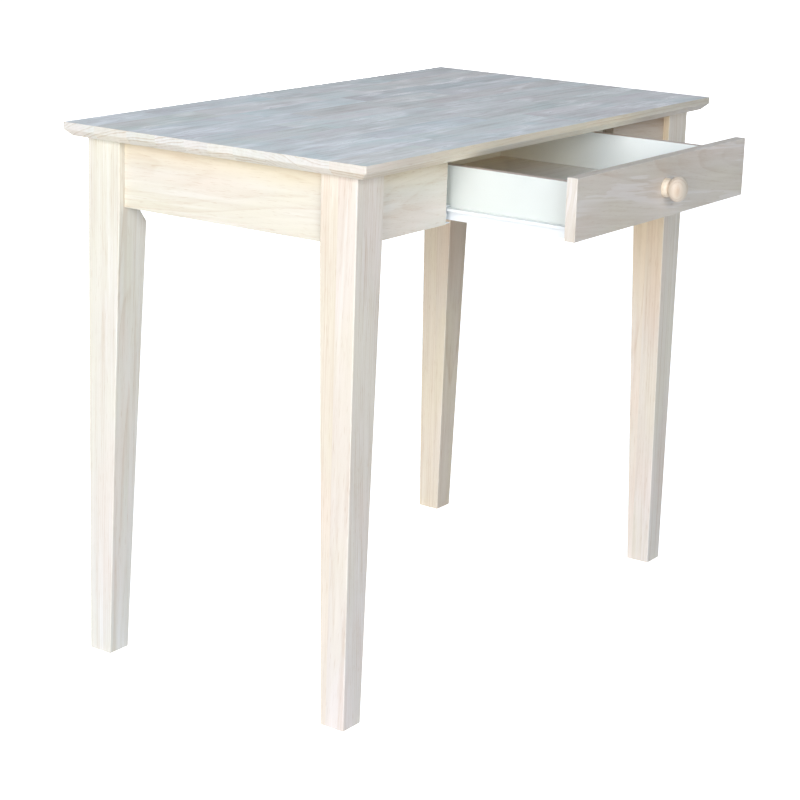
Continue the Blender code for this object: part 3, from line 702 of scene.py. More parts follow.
@dataclass(frozen=True)
class CoatedFinish:
    """A coated, moulded or plated surface with faint marks and rubbed edges."""

    name: str
    colour: Colour
    cloud_colour: Colour
    rubbed: Colour
    roughness: Range
    fineness: float
    relief: float
    relief_strength: float = 0.5
    metallic: float = 0.0
    rub: float = 0.4
    dust: float = 0.12
    dust_colour: Colour = (0.55, 0.52, 0.48)
    dust_roughness: float = 0.6
    cloud_range: Range = (0.35, 0.65)
    roughness_range: Range = (0.3, 0.7)
    tinted: bool = False

    def make(self, effects: Effects) -> Material:
        """Builds the material.

        Args:
            effects: the shared effects.

        Returns:
            The material.
        """
        made, graph, shader = new_material(self.name)
        place = graph.node("TexCoord").outputs["Object"]
        marks = effects.marks.place(graph, Place=place, Fineness=self.fineness)
        cloud = graph.span(marks["Cloud"], *self.cloud_range)
        colour = graph.blend(cloud, self.colour, self.cloud_colour)
        colour = effects.rub.wear(graph, colour, self.rubbed, place, self.rub)
        dust = graph.times(marks["Dust"], self.dust)
        colour = graph.blend(dust, colour, self.dust_colour)
        if self.tinted:
            colour = graph.blend(1.0, colour, graph.attribute("tint", "Color"), "MULTIPLY")
        graph.feed(shader.inputs["Base Color"], colour)
        shader.inputs["Metallic"].default_value = self.metallic
        rough = graph.span(marks["Cloud"], *self.roughness_range, *self.roughness)
        graph.feed(shader.inputs["Roughness"], graph.maths("MULTIPLY_ADD", dust, self.dust_roughness, rough))
        graph.raise_surface(shader, marks["Height"], self.relief, self.relief_strength)
        return made


@dataclass
class Finishes:
    """Every finish on the table."""

    effects: Effects
    hardwood: Material = field(init=False)
    figured_face: Material = field(init=False)
    silver_grey_painted_sheen_face: Material = field(init=False)
    sawn_wood: Material = field(init=False)
    grey_panel: Material = field(init=False)
    raw_edge: Material = field(init=False)
    white_board: Material = field(init=False)
    inner_board_painted_light: Material = field(init=False)
    painted_steel: Material = field(init=False)
    nylon: Material = field(init=False)
    zinc: Material = field(init=False)

    def __post_init__(self) -> None:
        """Makes the materials."""
        sanded = WoodFinish(
            "sanded_hardwood",
            pale=(0.825, 0.80, 0.735),
            middle=(0.762, 0.735, 0.66),
            dark=(0.62, 0.525, 0.41),
        )
        self.hardwood = sanded.make(self.effects)
        self.figured_face = replace(
            sanded,
            name="figured_hardwood",
            dark=(0.67, 0.595, 0.50),
            ring_strength=0.40,
            streak_strength=1.6,
            painted_sheen_share=0.45,
        ).make(self.effects)
        # The top's upward faces: a silver-grey wood whose pale blue-grey colour is partly the wood's own and
        # partly a painted cool sheen, with dense flecks of painted sheen.
        self.silver_grey_painted_sheen_face = WoodFinish(
            "silver_grey_hardwood_painted_sheen",
            pale=(0.89, 0.92, 0.925),
            middle=(0.81, 0.842, 0.842),
            dark=(0.60, 0.58, 0.56),
            run_scale=2.6,
            ring_strength=0.12,
            streak_strength=1.7,
            painted_sheen_tint=(0.95, 0.97, 1.0),
            painted_sheen_share=0.9,
            cool=(0.925, 0.985, 0.985),
            rosy=(0.995, 0.945, 0.955),
        ).make(self.effects)
        self.sawn_wood = WoodFinish(
            "sawn_hardwood",
            pale=(0.76, 0.66, 0.53),
            middle=(0.68, 0.57, 0.44),
            dark=(0.50, 0.38, 0.26),
            streak_strength=1.1,
            painted_sheen_share=0.05,
            roughness=(0.62, 0.78),
            relief=0.0004,
            rub=0.15,
        ).make(self.effects)
        self.grey_panel = WoodFinish(
            "grey_panel_foil",
            pale=(0.93, 0.925, 0.91),
            middle=(0.88, 0.87, 0.85),
            dark=(0.69, 0.66, 0.62),
            ring_strength=0.3,
            painted_sheen_share=0.08,
            roughness=(0.40, 0.52),
            relief=0.00005,
            rub=0.1,
        ).make(self.effects)
        self.raw_edge = WoodFinish(
            "raw_board_edge",
            pale=(0.80, 0.70, 0.62),
            middle=(0.72, 0.60, 0.52),
            dark=(0.56, 0.45, 0.38),
            ring_strength=0.1,
            painted_sheen_share=0.0,
            roughness=(0.65, 0.8),
            relief=0.0003,
            rub=0.0,
        ).make(self.effects)
        outside = CoatedFinish(
            "white_foil_board",
            colour=(0.69, 0.735, 0.71),
            cloud_colour=(0.675, 0.72, 0.69),
            rubbed=(0.72, 0.68, 0.62),
            roughness=(0.36, 0.48),
            fineness=900.0,
            relief=0.00008,
            rub=0.25,
        )
        self.white_board = outside.make(self.effects)
        # The box's inner faces take a lighter copy of the same white foil: painted light in the shaded box.
        self.inner_board_painted_light = replace(
            outside,
            name="white_foil_inside_painted_light",
            colour=(0.925, 0.97, 0.96),
            cloud_colour=(0.905, 0.955, 0.94),
            tinted=True,
        ).make(self.effects)
        self.painted_steel = CoatedFinish(
            "white_enamelled_steel",
            colour=(0.86, 0.90, 0.92),
            cloud_colour=(0.845, 0.885, 0.905),
            rubbed=(0.55, 0.56, 0.58),
            roughness=(0.28, 0.40),
            fineness=1400.0,
            relief=0.00006,
            rub=0.35,
        ).make(self.effects)
        self.nylon = CoatedFinish(
            "white_nylon",
            colour=(0.82, 0.82, 0.79),
            cloud_colour=(0.78, 0.78, 0.75),
            rubbed=(0.60, 0.59, 0.56),
            roughness=(0.34, 0.46),
            fineness=2500.0,
            relief=0.00004,
            rub=0.5,
            dust=0.3,
        ).make(self.effects)
        self.zinc = CoatedFinish(
            "zinc_plated_steel",
            colour=(0.66, 0.66, 0.63),
            cloud_colour=(0.58, 0.58, 0.57),
            rubbed=(0.76, 0.76, 0.75),
            roughness=(0.26, 0.42),
            fineness=1800.0,
            relief=0.00004,
            metallic=1.0,
            rub=0.6,
            dust=0.05,
        ).make(self.effects)


class Solid:
    """A piece in the making, in the row frame."""

    flat_angle: float = math.radians(0.5)
    sharp_angle: float = math.radians(12)
    score_snap: float = 0.00001

    def __init__(self) -> None:
        """Starts an empty mesh with a mark for eased faces."""
        self.mesh = bmesh.new()
        self.eased = self.mesh.faces.layers.int.new("eased")

    @classmethod
    def from_node(cls, node: bpy.types.Object) -> "Solid":
        """Copies a CAD node's shape and joins the triangles of its flat faces.

        Args:
            node: the CAD node.

        Returns:
            The solid.
        """
        solid = cls()
        points = [solid.mesh.verts.new(vertex.co) for vertex in node.data.vertices]
        for polygon in node.data.polygons:
            solid.mesh.faces.new([points[index] for index in polygon.vertices])
        bmesh.ops.remove_doubles(solid.mesh, verts=solid.mesh.verts, dist=WELD)
        bmesh.ops.dissolve_limit(
            solid.mesh, angle_limit=cls.flat_angle, verts=solid.mesh.verts, edges=solid.mesh.edges
        )
        bmesh.ops.recalc_face_normals(solid.mesh, faces=solid.mesh.faces)
        return solid

    @classmethod
    def turned(cls, profile: Sequence[Range], sides: int, closed: bool = False) -> "Solid":
        """Spins a profile about Z.

        Args:
            profile: radius and height pairs, from the top down.
            sides: steps round the axis.
            closed: whether the profile is a ring that leaves a bore.

        Returns:
            The solid, about the origin.
        """
        solid = cls()
        rings = []
        for radius, height in profile:
            if radius == 0:
                rings.append([solid.mesh.verts.new((0, 0, height))] * sides)
                continue
            turns = [math.tau * step / sides for step in range(sides)]
            ring = [(radius * math.cos(turn), radius * math.sin(turn), height) for turn in turns]
            rings.append([solid.mesh.verts.new(point) for point in ring])
        pairs = list(zip(rings, rings[1:]))
        if closed:
            pairs.append((rings[-1], rings[0]))
        for upper, lower in pairs:
            for step in range(sides):
                after = (step + 1) % sides
                corners = dict.fromkeys((upper[step], lower[step], lower[after], upper[after]))
                solid.mesh.faces.new(list(corners))
        bmesh.ops.recalc_face_normals(solid.mesh, faces=solid.mesh.faces)
        return solid

    def ease(self, radius: float, rounding: Rounding, pick: Callable[[Edge], bool]) -> None:
        """Rounds outer edges, and welds the points that fall together.

        Args:
            radius: how far the rounding reaches.
            rounding: how fine it is.
            pick: tells which outer edges are rounded.
        """
        edges = []
        for edge in self.mesh.edges:
            sharp = edge.calc_face_angle(0.0) >= self.sharp_angle
            if len(edge.link_faces) == 2 and edge.is_convex and sharp and pick(edge):
                edges.append(edge)
        made = bmesh.ops.bevel(
            self.mesh,
            geom=edges,
            offset=radius,
            offset_type="OFFSET",
            segments=rounding.value,
            profile=0.5,
            affect="EDGES",
            clamp_overlap=False,
        )
        for face in made["faces"]:
            face[self.eased] = 1
        bmesh.ops.remove_doubles(self.mesh, verts=self.mesh.verts, dist=WELD)

    def score(self, point: Triple, normal: Triple, inside: Callable[[Vector], bool] | None = None) -> None:
        """Splits faces along a plane, as a glue line does.

        Args:
            point: a point of the plane.
            normal: its direction.
            inside: tells by a face's middle whether it is split, or None for all.
        """
        faces = [face for face in self.mesh.faces if inside is None or inside(face.calc_center_median())]
        edges = list(dict.fromkeys(edge for face in faces for edge in face.edges))
        points = list(dict.fromkeys(vert for face in faces for vert in face.verts))
        bmesh.ops.bisect_plane(
            self.mesh, geom=points + edges + faces, plane_co=point, plane_no=normal, dist=self.score_snap
        )

    def split_flats(self) -> None:
        """Splits the faces that aren't eased into well-shaped triangles."""
        flats = [face for face in self.mesh.faces if not face[self.eased]]
        bmesh.ops.triangulate(self.mesh, faces=flats, quad_method="BEAUTY", ngon_method="BEAUTY")

    def lay_grain(self, choose: Callable[[Vector, Vector], Stick], fade: Fade | None = None) -> None:
        """Stores grain, tint, end grain and edge marks on the mesh.

        Args:
            choose: gives the stick that a face belongs to, by the face's middle and normal.
            fade: gives one more tint, by a point and the normal of its face, or None.
        """
        grain = self.mesh.loops.layers.float_vector.new("grain")
        tint = self.mesh.loops.layers.float_color.new("tint")
        end = self.mesh.loops.layers.float.new("end_grain")
        self.mesh.normal_update()
        for face in self.mesh.faces:
            stick = choose(face.calc_center_median(), face.normal)
            for loop in face.loops:
                loop[grain] = stick.grain_at(loop.vert.co)
                tone = stick.stained(fade(loop.vert.co, face.normal)).tint if fade else stick.tint
                loop[tint] = (*tone, 1.0)
                loop[end] = stick.along.end_share(face.normal)
        self.mark_edges()

    def mark_edges(self) -> None:
        """Stores the edge marks on the mesh."""
        edge = self.mesh.loops.layers.float.new("edge")
        for face in self.mesh.faces:
            for loop in face.loops:
                loop[edge] = float(face[self.eased])

    def settle(
        self,
        name: str,
        node: str,
        body: Body,
        slot: Slot,
        materials: Sequence[Material],
        smooth: float = 40.0,
        flat: bool = False,
    ) -> None:
        """Turns the solid into a piece on its body, in place of its CAD node, and reports it.

        Args:
            name: the piece's name.
            node: the CAD node that it stands for.
            body: the body that it rides on.
            slot: not used.
            materials: its material slots.
            smooth: faces that meet under this angle, in degrees, are shaded as one.
            flat: whether each face that isn't eased is shaded flat.
        """
        data = bpy.data.meshes.new(name)
        rounded = [not flat or face[self.eased] == 1 for face in self.mesh.faces]
        self.mesh.to_mesh(data)
        self.mesh.free()
        for material in materials:
            data.materials.append(material)
        data.polygons.foreach_set("use_smooth", rounded)
        data.set_sharp_from_angle(angle=math.radians(smooth))
        piece = bpy.data.objects.new(name, data)
        bpy.context.scene.collection.objects.link(piece)
        weigh = piece.modifiers.new("flat_faces", "WEIGHTED_NORMAL")
        weigh.keep_sharp = True
        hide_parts(node)
        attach(piece, body.value)
        LOG.info("%s: %d faces on %s", name, len(data.polygons), body.value)


def quarter_arc(radius: float, height: float, across: float, along: float, steps: int) -> list[Range]:
    """Points of a quarter ellipse of a turned profile.

    Args:
        radius: radius of its centre.
        height: height of its centre.
        across: its reach across the axis.
        along: its reach along the axis.
        steps: how many lines it is made of.

    Returns:
        Radius and height pairs, from along the axis to across it.
    """
    turns = [math.radians(90 * step / steps) for step in range(steps + 1)]
    return [(radius + across * math.sin(turn), height + along * math.cos(turn)) for turn in turns]


def aim(start: Vector, direction: Vector) -> Matrix:
    """Stands +Z along a direction from a point."""
    return Matrix.Translation(start) @ direction.to_track_quat("Z", "Y").to_matrix().to_4x4()


@dataclass
class Workshop:
    """What every sub-assembly needs: the CAD nodes, the finishes and the pile of wood."""

    nodes: dict[str, bpy.types.Object]
    finishes: Finishes
    pile: StickPile

    def solid(self, node: str) -> Solid:
        """Copies a CAD node's shape."""
        return Solid.from_node(self.nodes[node])

    def eased(self, node: str, radius: float, rounding: Rounding, sharp_length: float) -> Solid:
        """Copies a CAD node's shape and rounds its longer edges.

        Args:
            node: the CAD node.
            radius: how far the rounding reaches.
            rounding: how fine it is.
            sharp_length: edges up to this length stay sharp.

        Returns:
            The eased solid.
        """
        solid = self.solid(node)
        solid.ease(radius, rounding, lambda edge: edge.calc_length() > sharp_length)
        return solid


@dataclass
class TableTop:
    """The edge-glued top with its bevel underneath.

    The painted light and shade of the front gives, from left to right, a place along X and the tints of the
    front edge and its bevel, lighter in the middle and darker at the ends, most at the right.
    """

    shop: Workshop
    corner_radius: float = 0.0024
    corner_rise: float = 0.005
    edge_radius: float = 0.0010
    sharp_length: float = 0.2
    stave_widths: tuple[float, ...] = (0.056, 0.051, 0.051, 0.052, 0.042, 0.040, 0.050, 0.050, 0.058, 0.058)
    stave_run: Range = (0.20, 0.38)
    first_share: Range = (0.4, 1.0)
    shade_spread: float = 0.055
    end_tint: Colour = (0.90, 0.915, 0.945)
    end_shades: tuple[float, ...] = (0.98, 1.0, 0.96, 0.97, 1.01, 1.02, 0.975, 0.965, 1.01, 0.99)
    bevel_tint: Colour = (0.93, 0.91, 0.885)
    bevel_contrast: float = 2.0
    front_tint: Colour = (0.985, 0.945, 0.875)
    # Painted light and shade along the front edge and bevel: lighter in the middle, darker at the ends, most
    # at the right.
    front_painted_light_and_shade: tuple[tuple[float, Colour, Colour], ...] = (
        (-0.457, (1.0, 1.0, 1.04), (0.88, 0.88, 0.89)),
        (-0.36, (0.92, 0.90, 0.91), (0.86, 0.85, 0.83)),
        (-0.25, (1.06, 1.03, 0.97), (1.12, 1.08, 1.03)),
        (-0.02, (1.14, 1.10, 1.03), (1.27, 1.27, 1.25)),
        (0.16, (1.15, 1.12, 1.06), (1.27, 1.27, 1.25)),
        (0.27, (0.88, 0.87, 0.86), (0.64, 0.60, 0.58)),
        (0.457, (0.79, 0.78, 0.80), (0.59, 0.56, 0.56)),
    )
    front_depth: float = 0.012
    # The staves of the right half darken towards the right end: painted shade where the light falls off.
    right_painted_shade: Colour = (0.90, 0.865, 0.85)

    def lay_out(self, low: Vector, high: Vector) -> list[tuple[float, list[tuple[float, Stick]]]]:
        """Plans the rows of staves.

        Args:
            low: lowest corner of the top.
            high: highest corner.

        Returns:
            Each row's far side, with the right end and the stick of each stave in it.
        """
        dice = self.shop.pile.dice
        scale = (high.y - low.y) / sum(self.stave_widths)
        middle, far, rows = (low.x + high.x) / 2, low.y, []
        for width in self.stave_widths:
            far += width * scale
            ends = [low.x + dice.uniform(*self.stave_run) * dice.uniform(*self.first_share)]
            while ends[-1] < high.x - self.stave_run[0]:
                ends.append(ends[-1] + dice.uniform(*self.stave_run))
            ends[-1] = high.x
            row = []
            for end in ends:
                # Staves further towards the right end take more of the painted shade.
                tint = blend_tints(PLAIN, self.right_painted_shade, (end - middle) / (high.x - middle))
                row.append((end, self.shop.pile.draw(Along.X, tint, self.shade_spread)))
            rows.append((far, row))
        return rows

    def upright(self, edge: Edge) -> bool:
        """Tells the edges that rise at the corners."""
        return abs(edge.verts[0].co.z - edge.verts[1].co.z) > self.corner_rise

    def paint_front_light_and_shade(self, spot: Vector, facing: Vector) -> Colour:
        """Paints light and shade on the front edge and its bevel from left to right.

        Args:
            spot: a point of the top.
            facing: the normal of its face.

        Returns:
            The tint there, plain on the other sides.
        """
        if facing.y > -LEANING:
            return PLAIN
        kind = 1 if facing.z < -LEANING else 0
        for (start, *first), (stop, *second) in zip(self.front_painted_light_and_shade, self.front_painted_light_and_shade[1:]):
            if spot.x <= stop:
                return blend_tints(first[kind], second[kind], (spot.x - start) / (stop - start))
        return second[kind]

    def build(self) -> None:
        """Cuts, glues and dresses the top."""
        low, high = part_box("tabletop")
        solid = self.shop.solid("tabletop")
        solid.ease(self.corner_radius, Rounding.ROUND, self.upright)
        solid.ease(self.edge_radius, Rounding.SOFT, lambda edge: edge.calc_length() > self.sharp_length)
        rows = self.lay_out(low, high)
        near = low.y - self.front_depth
        for far, row in rows:
            solid.score((0, far, 0), (0, 1, 0))
            for end, _ in row[:-1]:
                solid.score((end, 0, 0), (1, 0, 0), lambda spot, a=near, b=far: a < spot.y < b)
            near = far
        for place, _, _ in self.front_painted_light_and_shade[1:-1]:
            solid.score((place, 0, 0), (1, 0, 0), lambda spot: spot.y < low.y + self.front_depth)
        solid.split_flats()

        def stave(spot: Vector, facing: Vector) -> Stick:
            """Finds the stave that a face belongs to, with the tint of its side of the top.

            Args:
                spot: the face's middle.
                facing: its normal.

            Returns:
                The tinted stick.
            """
            index = next((number for number, (far, _) in enumerate(rows) if spot.y <= far), len(rows) - 1)
            row = rows[index][1]
            stick = next((stick for end, stick in row if spot.x <= end), row[-1][1])
            if abs(facing.x) > SQUARE_ON:
                return stick.stained(tuple(part * self.end_shades[index] for part in self.end_tint))
            if abs(facing.x) > LEANING:
                shade = self.end_shades[index] ** self.bevel_contrast
                return stick.stained(tuple(part * shade for part in self.bevel_tint))
            if abs(facing.y) > LEANING:
                return replace(stick, tint=self.front_tint)
            return stick

        solid.lay_grain(stave, self.paint_front_light_and_shade)
        finishes = self.shop.finishes
        woods = [finishes.hardwood, finishes.silver_grey_painted_sheen_face]
        # Faces that look up take the silver-grey wood with its painted cool sheen.
        for face in solid.mesh.faces:
            if face.normal.z > SQUARE_ON:
                face.material_index = woods.index(finishes.silver_grey_painted_sheen_face)
        solid.settle("stave_top", "tabletop", Body.FRAME, Slot.BARE_WOOD, woods, flat=True)


@dataclass(frozen=True)
class LegWood:
    """The wood of one leg: two sticks, the axis that they lie side by side on, and the shade painted on it:
    on its front, and on the tops of its left and front sides.
    """

    near: Stick
    far: Stick
    glue_axis: int = 1
    # Tints that stand for the shade under the table: painted shade on the front, and on the top of the left
    # and front sides.
    front_painted_shade: Colour = PLAIN
    left_top_painted_shade: Colour = PLAIN
    front_top_painted_shade: Colour = PLAIN


@dataclass
class Legs:
    """Four square legs, each glued from two sticks and tapered on its inner faces."""

    shop: Workshop
    edge_radius: float = 0.0014
    sharp_length: float = 0.03
    glue_share: float = 0.52
    foot_tint: Colour = (1.01, 1.03, 1.085)
    foot_height: float = 0.36
    warm_height: float = 0.38
    crown_height: float = 0.56
    wood: dict[str, LegWood] = field(
        default_factory=lambda: {
            "front_left": LegWood(
                Stick(Along.Z, (-0.352, -0.118), (0.02, 0.05), 3.1, (0.975, 0.93, 0.925)),
                Stick(Along.Z, (-0.415, 0.09), (0.004, 0.008), 7.7, (0.98, 0.93, 0.87)),
            ),
            "front_right": LegWood(
                Stick(Along.Z, (0.47, -0.02), (0.006, 0.012), 12.3, (1.03, 0.97, 0.935)),
                Stick(Along.Z, (0.30, -0.07), (0.02, 0.01), 15.9, (1.08, 1.02, 0.97)),
                front_painted_shade=(0.91, 0.92, 0.925),
                left_top_painted_shade=(1.02, 0.94, 0.79),
                front_top_painted_shade=(0.99, 0.97, 0.95),
            ),
            "back_left": LegWood(
                Stick(Along.Z, (-0.40, 0.42), (0.006, 0.010), 21.3),
                Stick(Along.Z, (-0.31, 0.35), (0.010, 0.012), 25.1, (1.0, 1.0, 1.01)),
                glue_axis=0,
            ),
            "back_right": LegWood(
                Stick(Along.Z, (0.42, 0.19), (0.008, 0.010), 31.7, (1.08, 0.98, 0.88)),
                Stick(Along.Z, (0.36, 0.42), (0.004, 0.016), 36.2, (1.12, 1.02, 0.90)),
                front_painted_shade=(0.80, 0.79, 0.79),
                left_top_painted_shade=(0.99, 0.93, 0.85),
                front_top_painted_shade=(0.84, 0.76, 0.66),
            ),
        }
    )

    def outer(self, edge: Edge) -> bool:
        """Tells the long square edges from those of the corner cut."""
        slanted = (min(abs(face.normal.x), abs(face.normal.y)) > LEANING for face in edge.link_faces)
        return edge.calc_length() > self.sharp_length and not any(slanted)

    def build(self) -> None:
        """Dresses each leg."""
        for corner in CORNERS:
            node, wood = f"leg_{corner}", self.wood[corner]
            low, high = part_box(node)
            solid = self.shop.solid(node)
            solid.ease(self.edge_radius, Rounding.ROUND, self.outer)
            axis = wood.glue_axis
            line = low[axis] + (high[axis] - low[axis]) * self.glue_share
            solid.score([line] * 3, [1.0 if index == axis else 0.0 for index in range(3)])
            for height in (self.foot_height, self.warm_height, self.crown_height):
                solid.score((0, 0, height), (0, 0, 1))

            def half(spot: Vector, facing: Vector) -> Stick:
                """Finds the stick that a face belongs to, with the painted shade of the leg's front."""
                stick = wood.near if spot[axis] < line else wood.far
                return stick.stained(wood.front_painted_shade) if facing.y < -SQUARE_ON else stick

            def paint_shade_and_cool_foot(spot: Vector, facing: Vector) -> Colour:
                """Paints the shade under the table as a warm tint on the top of a leg's left and front
                sides, and makes its foot paler and bluer.

                Args:
                    spot: a point of the leg.
                    facing: the normal of its face.

                Returns:
                    The tint there.
                """
                if spot.z < self.foot_height:
                    return blend_tints(self.foot_tint, PLAIN, spot.z / self.foot_height)
                if min(facing.x, facing.y) > -LEANING:
                    return PLAIN
                crown = wood.left_top_painted_shade if facing.x < -LEANING else wood.front_top_painted_shade
                share = (spot.z - self.warm_height) / (self.crown_height - self.warm_height)
                return blend_tints(PLAIN, crown, share)

            solid.lay_grain(half, paint_shade_and_cool_foot)
            hardwood = self.shop.finishes.hardwood
            solid.settle(f"tapered_{node}", node, Body.FRAME, Slot.BARE_WOOD, [hardwood], flat=True)


@dataclass
class ApronFrame:
    """Aprons, front panels and the rails that carry the slides."""

    shop: Workshop
    edge_radius: float = 0.0009
    sharp_length: float = 0.015
    boards: dict[str, Stick] = field(
        default_factory=lambda: {
            "apron_left": Stick(Along.Y, (-0.335, 0.715), (0.035, 0.03), 2.4, (0.965, 0.95, 0.92)),
            "apron_right": Stick(Along.Y, (0.35, 0.69), (0.05, -0.02), 9.8, (1.0, 0.99, 0.97)),
            "apron_back": Stick(Along.X, (0.26, 0.71), (0.04, 0.02), 17.5, (0.99, 0.98, 0.97)),
            "front_panel_left": Stick(Along.X, (-0.055, 0.675), (0.06, 0.05), 23.9, (1.0, 0.98, 0.96)),
            # The right front panel's darker tint is painted shade, where the open drawer and the top keep
            # the light off it.
            "front_panel_right": Stick(Along.X, (-0.045, 0.72), (-0.05, 0.06), 28.6, (0.76, 0.69, 0.62)),
        }
    )
    # Wood close under the top's overhang is tinted warm and darker: painted shade of the overhang, deepest
    # on the right front panel.
    overhang_painted_shade: Colour = (0.97, 0.89, 0.74)
    deep_overhang_painted_shades: dict[str, Colour] = field(default_factory=lambda: {"front_panel_right": (0.54, 0.45, 0.38)})
    overhang_shade_depth: float = 0.034
    overhang_shade_start: float = field(init=False)

    def __post_init__(self) -> None:
        """Finds where the strip of painted shade starts."""
        self.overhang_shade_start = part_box("tabletop")[0].z - self.overhang_shade_depth

    def build(self) -> None:
        """Dresses each board and rail."""
        for node, stick in self.boards.items():
            solid = self.shop.eased(node, self.edge_radius, Rounding.ROUND, self.sharp_length)
            solid.score((0, 0, self.overhang_shade_start), (0, 0, 1))
            overhang_painted_shade = self.deep_overhang_painted_shades.get(node, self.overhang_painted_shade)

            def paint_overhang_shade(spot: Vector, facing: Vector) -> Colour:
                """Paints the warm shade of the top's overhang on the wood close under it."""
                return blend_tints(PLAIN, overhang_painted_shade, (spot.z - self.overhang_shade_start) / self.overhang_shade_depth)

            solid.lay_grain(lambda spot, facing: stick, paint_overhang_shade)
            hardwood = self.shop.finishes.hardwood
            solid.settle(f"{node}_board", node, Body.FRAME, Slot.BARE_WOOD, [hardwood], flat=True)
        for side in SIDES:
            node = f"slide_rail_{side}"
            solid = self.shop.eased(node, self.edge_radius, Rounding.ROUND, self.sharp_length)
            stick = self.shop.pile.draw(Along.Y)
            solid.lay_grain(lambda spot, facing: stick)
            sawn = self.shop.finishes.sawn_wood
            solid.settle(f"{node}_board", node, Body.FRAME, Slot.BLOCK_WOOD, [sawn], flat=True)


@dataclass
class CrossScrew:
    """A pan-head wood screw with a cross recess, driven to the place of its CAD node."""

    shop: Workshop
    radius: float = 0.00175
    head_radius: float = 0.0032
    head_thick: float = 0.0011
    crown_round: float = 0.0009
    crown_steps: int = 5
    rim_height: float = 0.0003
    recess_reach: float = 0.0019
    recess_width: float = 0.0007
    recess_depth: float = 0.0007
    recess_taper: float = 0.6
    point: float = 0.004
    sides: int = 32

    def profile(self, length: float) -> list[Range]:
        """Gives the head and shank.

        Args:
            length: length under the head.

        Returns:
            Radius and height pairs, from the head's rim to the point.
        """
        flat, rise = self.head_radius - self.crown_round, self.head_thick - self.rim_height
        crown = quarter_arc(flat, self.rim_height, self.crown_round, rise, self.crown_steps)
        head = crown + [(self.head_radius, 0.0)]
        return head + [(self.radius, 0.0), (self.radius, self.point - length), (0.0, -length)]

    def recess(self, solid: Solid) -> None:
        """Opens the cross in the head's top.

        Args:
            solid: the screw, open at its crown.
        """
        mesh = solid.mesh
        mesh.edges.ensure_lookup_table()
        rim = [edge for edge in mesh.edges if edge.is_boundary]
        half, reach = self.recess_width / 2, self.recess_reach
        corner = [(half, half), (reach, half), (reach, -half), (half, -half)]
        outline = []
        for quarter in range(4):
            turn = Matrix.Rotation(-math.radians(90 * quarter), 3, "Z")
            outline += [turn @ Vector((x, y, 0)) for x, y in corner[:3]]
        top = [mesh.verts.new((spot.x, spot.y, self.head_thick)) for spot in outline]
        taper, floor = self.recess_taper, self.head_thick - self.recess_depth
        deep = [mesh.verts.new((spot.x * taper, spot.y * taper, floor)) for spot in outline]
        loop = [mesh.edges.new((first, second)) for first, second in zip(top, top[1:] + top[:1])]
        bmesh.ops.triangle_fill(mesh, edges=rim + loop, use_beauty=True)
        count = len(top)
        for step in range(count):
            after = (step + 1) % count
            mesh.faces.new((top[step], deep[step], deep[after], top[after]))
        mesh.faces.new(deep)
        bmesh.ops.recalc_face_normals(mesh, faces=mesh.faces)

    def drive(self, node: str, into: Vector, body: Body) -> None:
        """Makes the screw that stands for one CAD node.

        Args:
            node: the CAD node.
            into: the direction it is driven in.
            body: the body it rides on.
        """
        low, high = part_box(node)
        axis = max(range(3), key=lambda index: abs(into[index]))
        length = high[axis] - low[axis] - self.head_thick
        seat = (low + high) / 2
        seat[axis] = low[axis] + self.head_thick if into[axis] > 0 else high[axis] - self.head_thick
        solid = Solid.turned(self.profile(length), self.sides)
        self.recess(solid)
        bmesh.ops.transform(solid.mesh, matrix=aim(seat, -into), verts=solid.mesh.verts)
        solid.mark_edges()
        solid.settle(f"{node}_cross", node, body, Slot.ZINC, [self.shop.finishes.zinc])


@dataclass
class CornerFixings:
    """The blocks across the corners with their hanger bolts, nuts and top screws."""

    shop: Workshop
    block_edge: float = 0.0012
    block_sharp: float = 0.012
    thread_pitch: float = 0.00125
    thread_depth: float = 0.0007
    crest_share: float = 0.12
    thread_smooth: float = 20.0
    nut_edge: float = 0.0005
    nut_sharp: float = 0.005
    sides: int = 32

    def bolt(self, node: str) -> None:
        """Cuts the thread on a hanger bolt.

        Args:
            node: the bolt's CAD node.
        """
        points = [vertex.co for vertex in self.shop.nodes[node].data.vertices]
        tip = min(points, key=lambda spot: spot.xy.length)
        end = max(points, key=lambda spot: (spot.xy - tip.xy).length)
        low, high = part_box(node)
        level, radius = (low.z + high.z) / 2, (high.z - low.z) / 2
        start, stop = Vector((tip.x, tip.y, level)), Vector((end.x, end.y, level))
        length, root = (stop - start).length, radius - self.thread_depth
        crest, half_turn = self.crest_share * self.thread_pitch, self.thread_pitch / 2
        profile = [(0.0, length), (root, length)]
        for turn in range(int(length / self.thread_pitch)):
            height = length - turn * self.thread_pitch - half_turn
            profile += [(radius, height + crest), (radius, height - crest), (root, height - half_turn)]
        profile.append((0.0, 0.0))
        solid = Solid.turned(profile, self.sides)
        bmesh.ops.transform(solid.mesh, matrix=aim(start, stop - start), verts=solid.mesh.verts)
        solid.mark_edges()
        zinc = self.shop.finishes.zinc
        solid.settle(f"{node}_thread", node, Body.FRAME, Slot.ZINC, [zinc], smooth=self.thread_smooth)

    def build(self) -> None:
        """Dresses the four corners."""
        screws = CrossScrew(self.shop)
        for corner in CORNERS:
            node = f"corner_block_{corner}"
            block = self.shop.eased(node, self.block_edge, Rounding.SOFT, self.block_sharp)
            stick = self.shop.pile.draw(Along.Y)
            block.lay_grain(lambda spot, facing: stick)
            sawn = self.shop.finishes.sawn_wood
            block.settle(f"{node}_sawn", node, Body.FRAME, Slot.BLOCK_WOOD, [sawn], flat=True)
            node = f"hanger_nut_{corner}"
            nut = self.shop.eased(node, self.nut_edge, Rounding.SOFT, self.nut_sharp)
            nut.mark_edges()
            nut.settle(f"{node}_hex", node, Body.FRAME, Slot.ZINC, [self.shop.finishes.zinc])
            self.bolt(f"hanger_bolt_{corner}")
            screws.drive(f"top_screw_{corner}", Vector((0, 0, 1)), Body.FRAME)


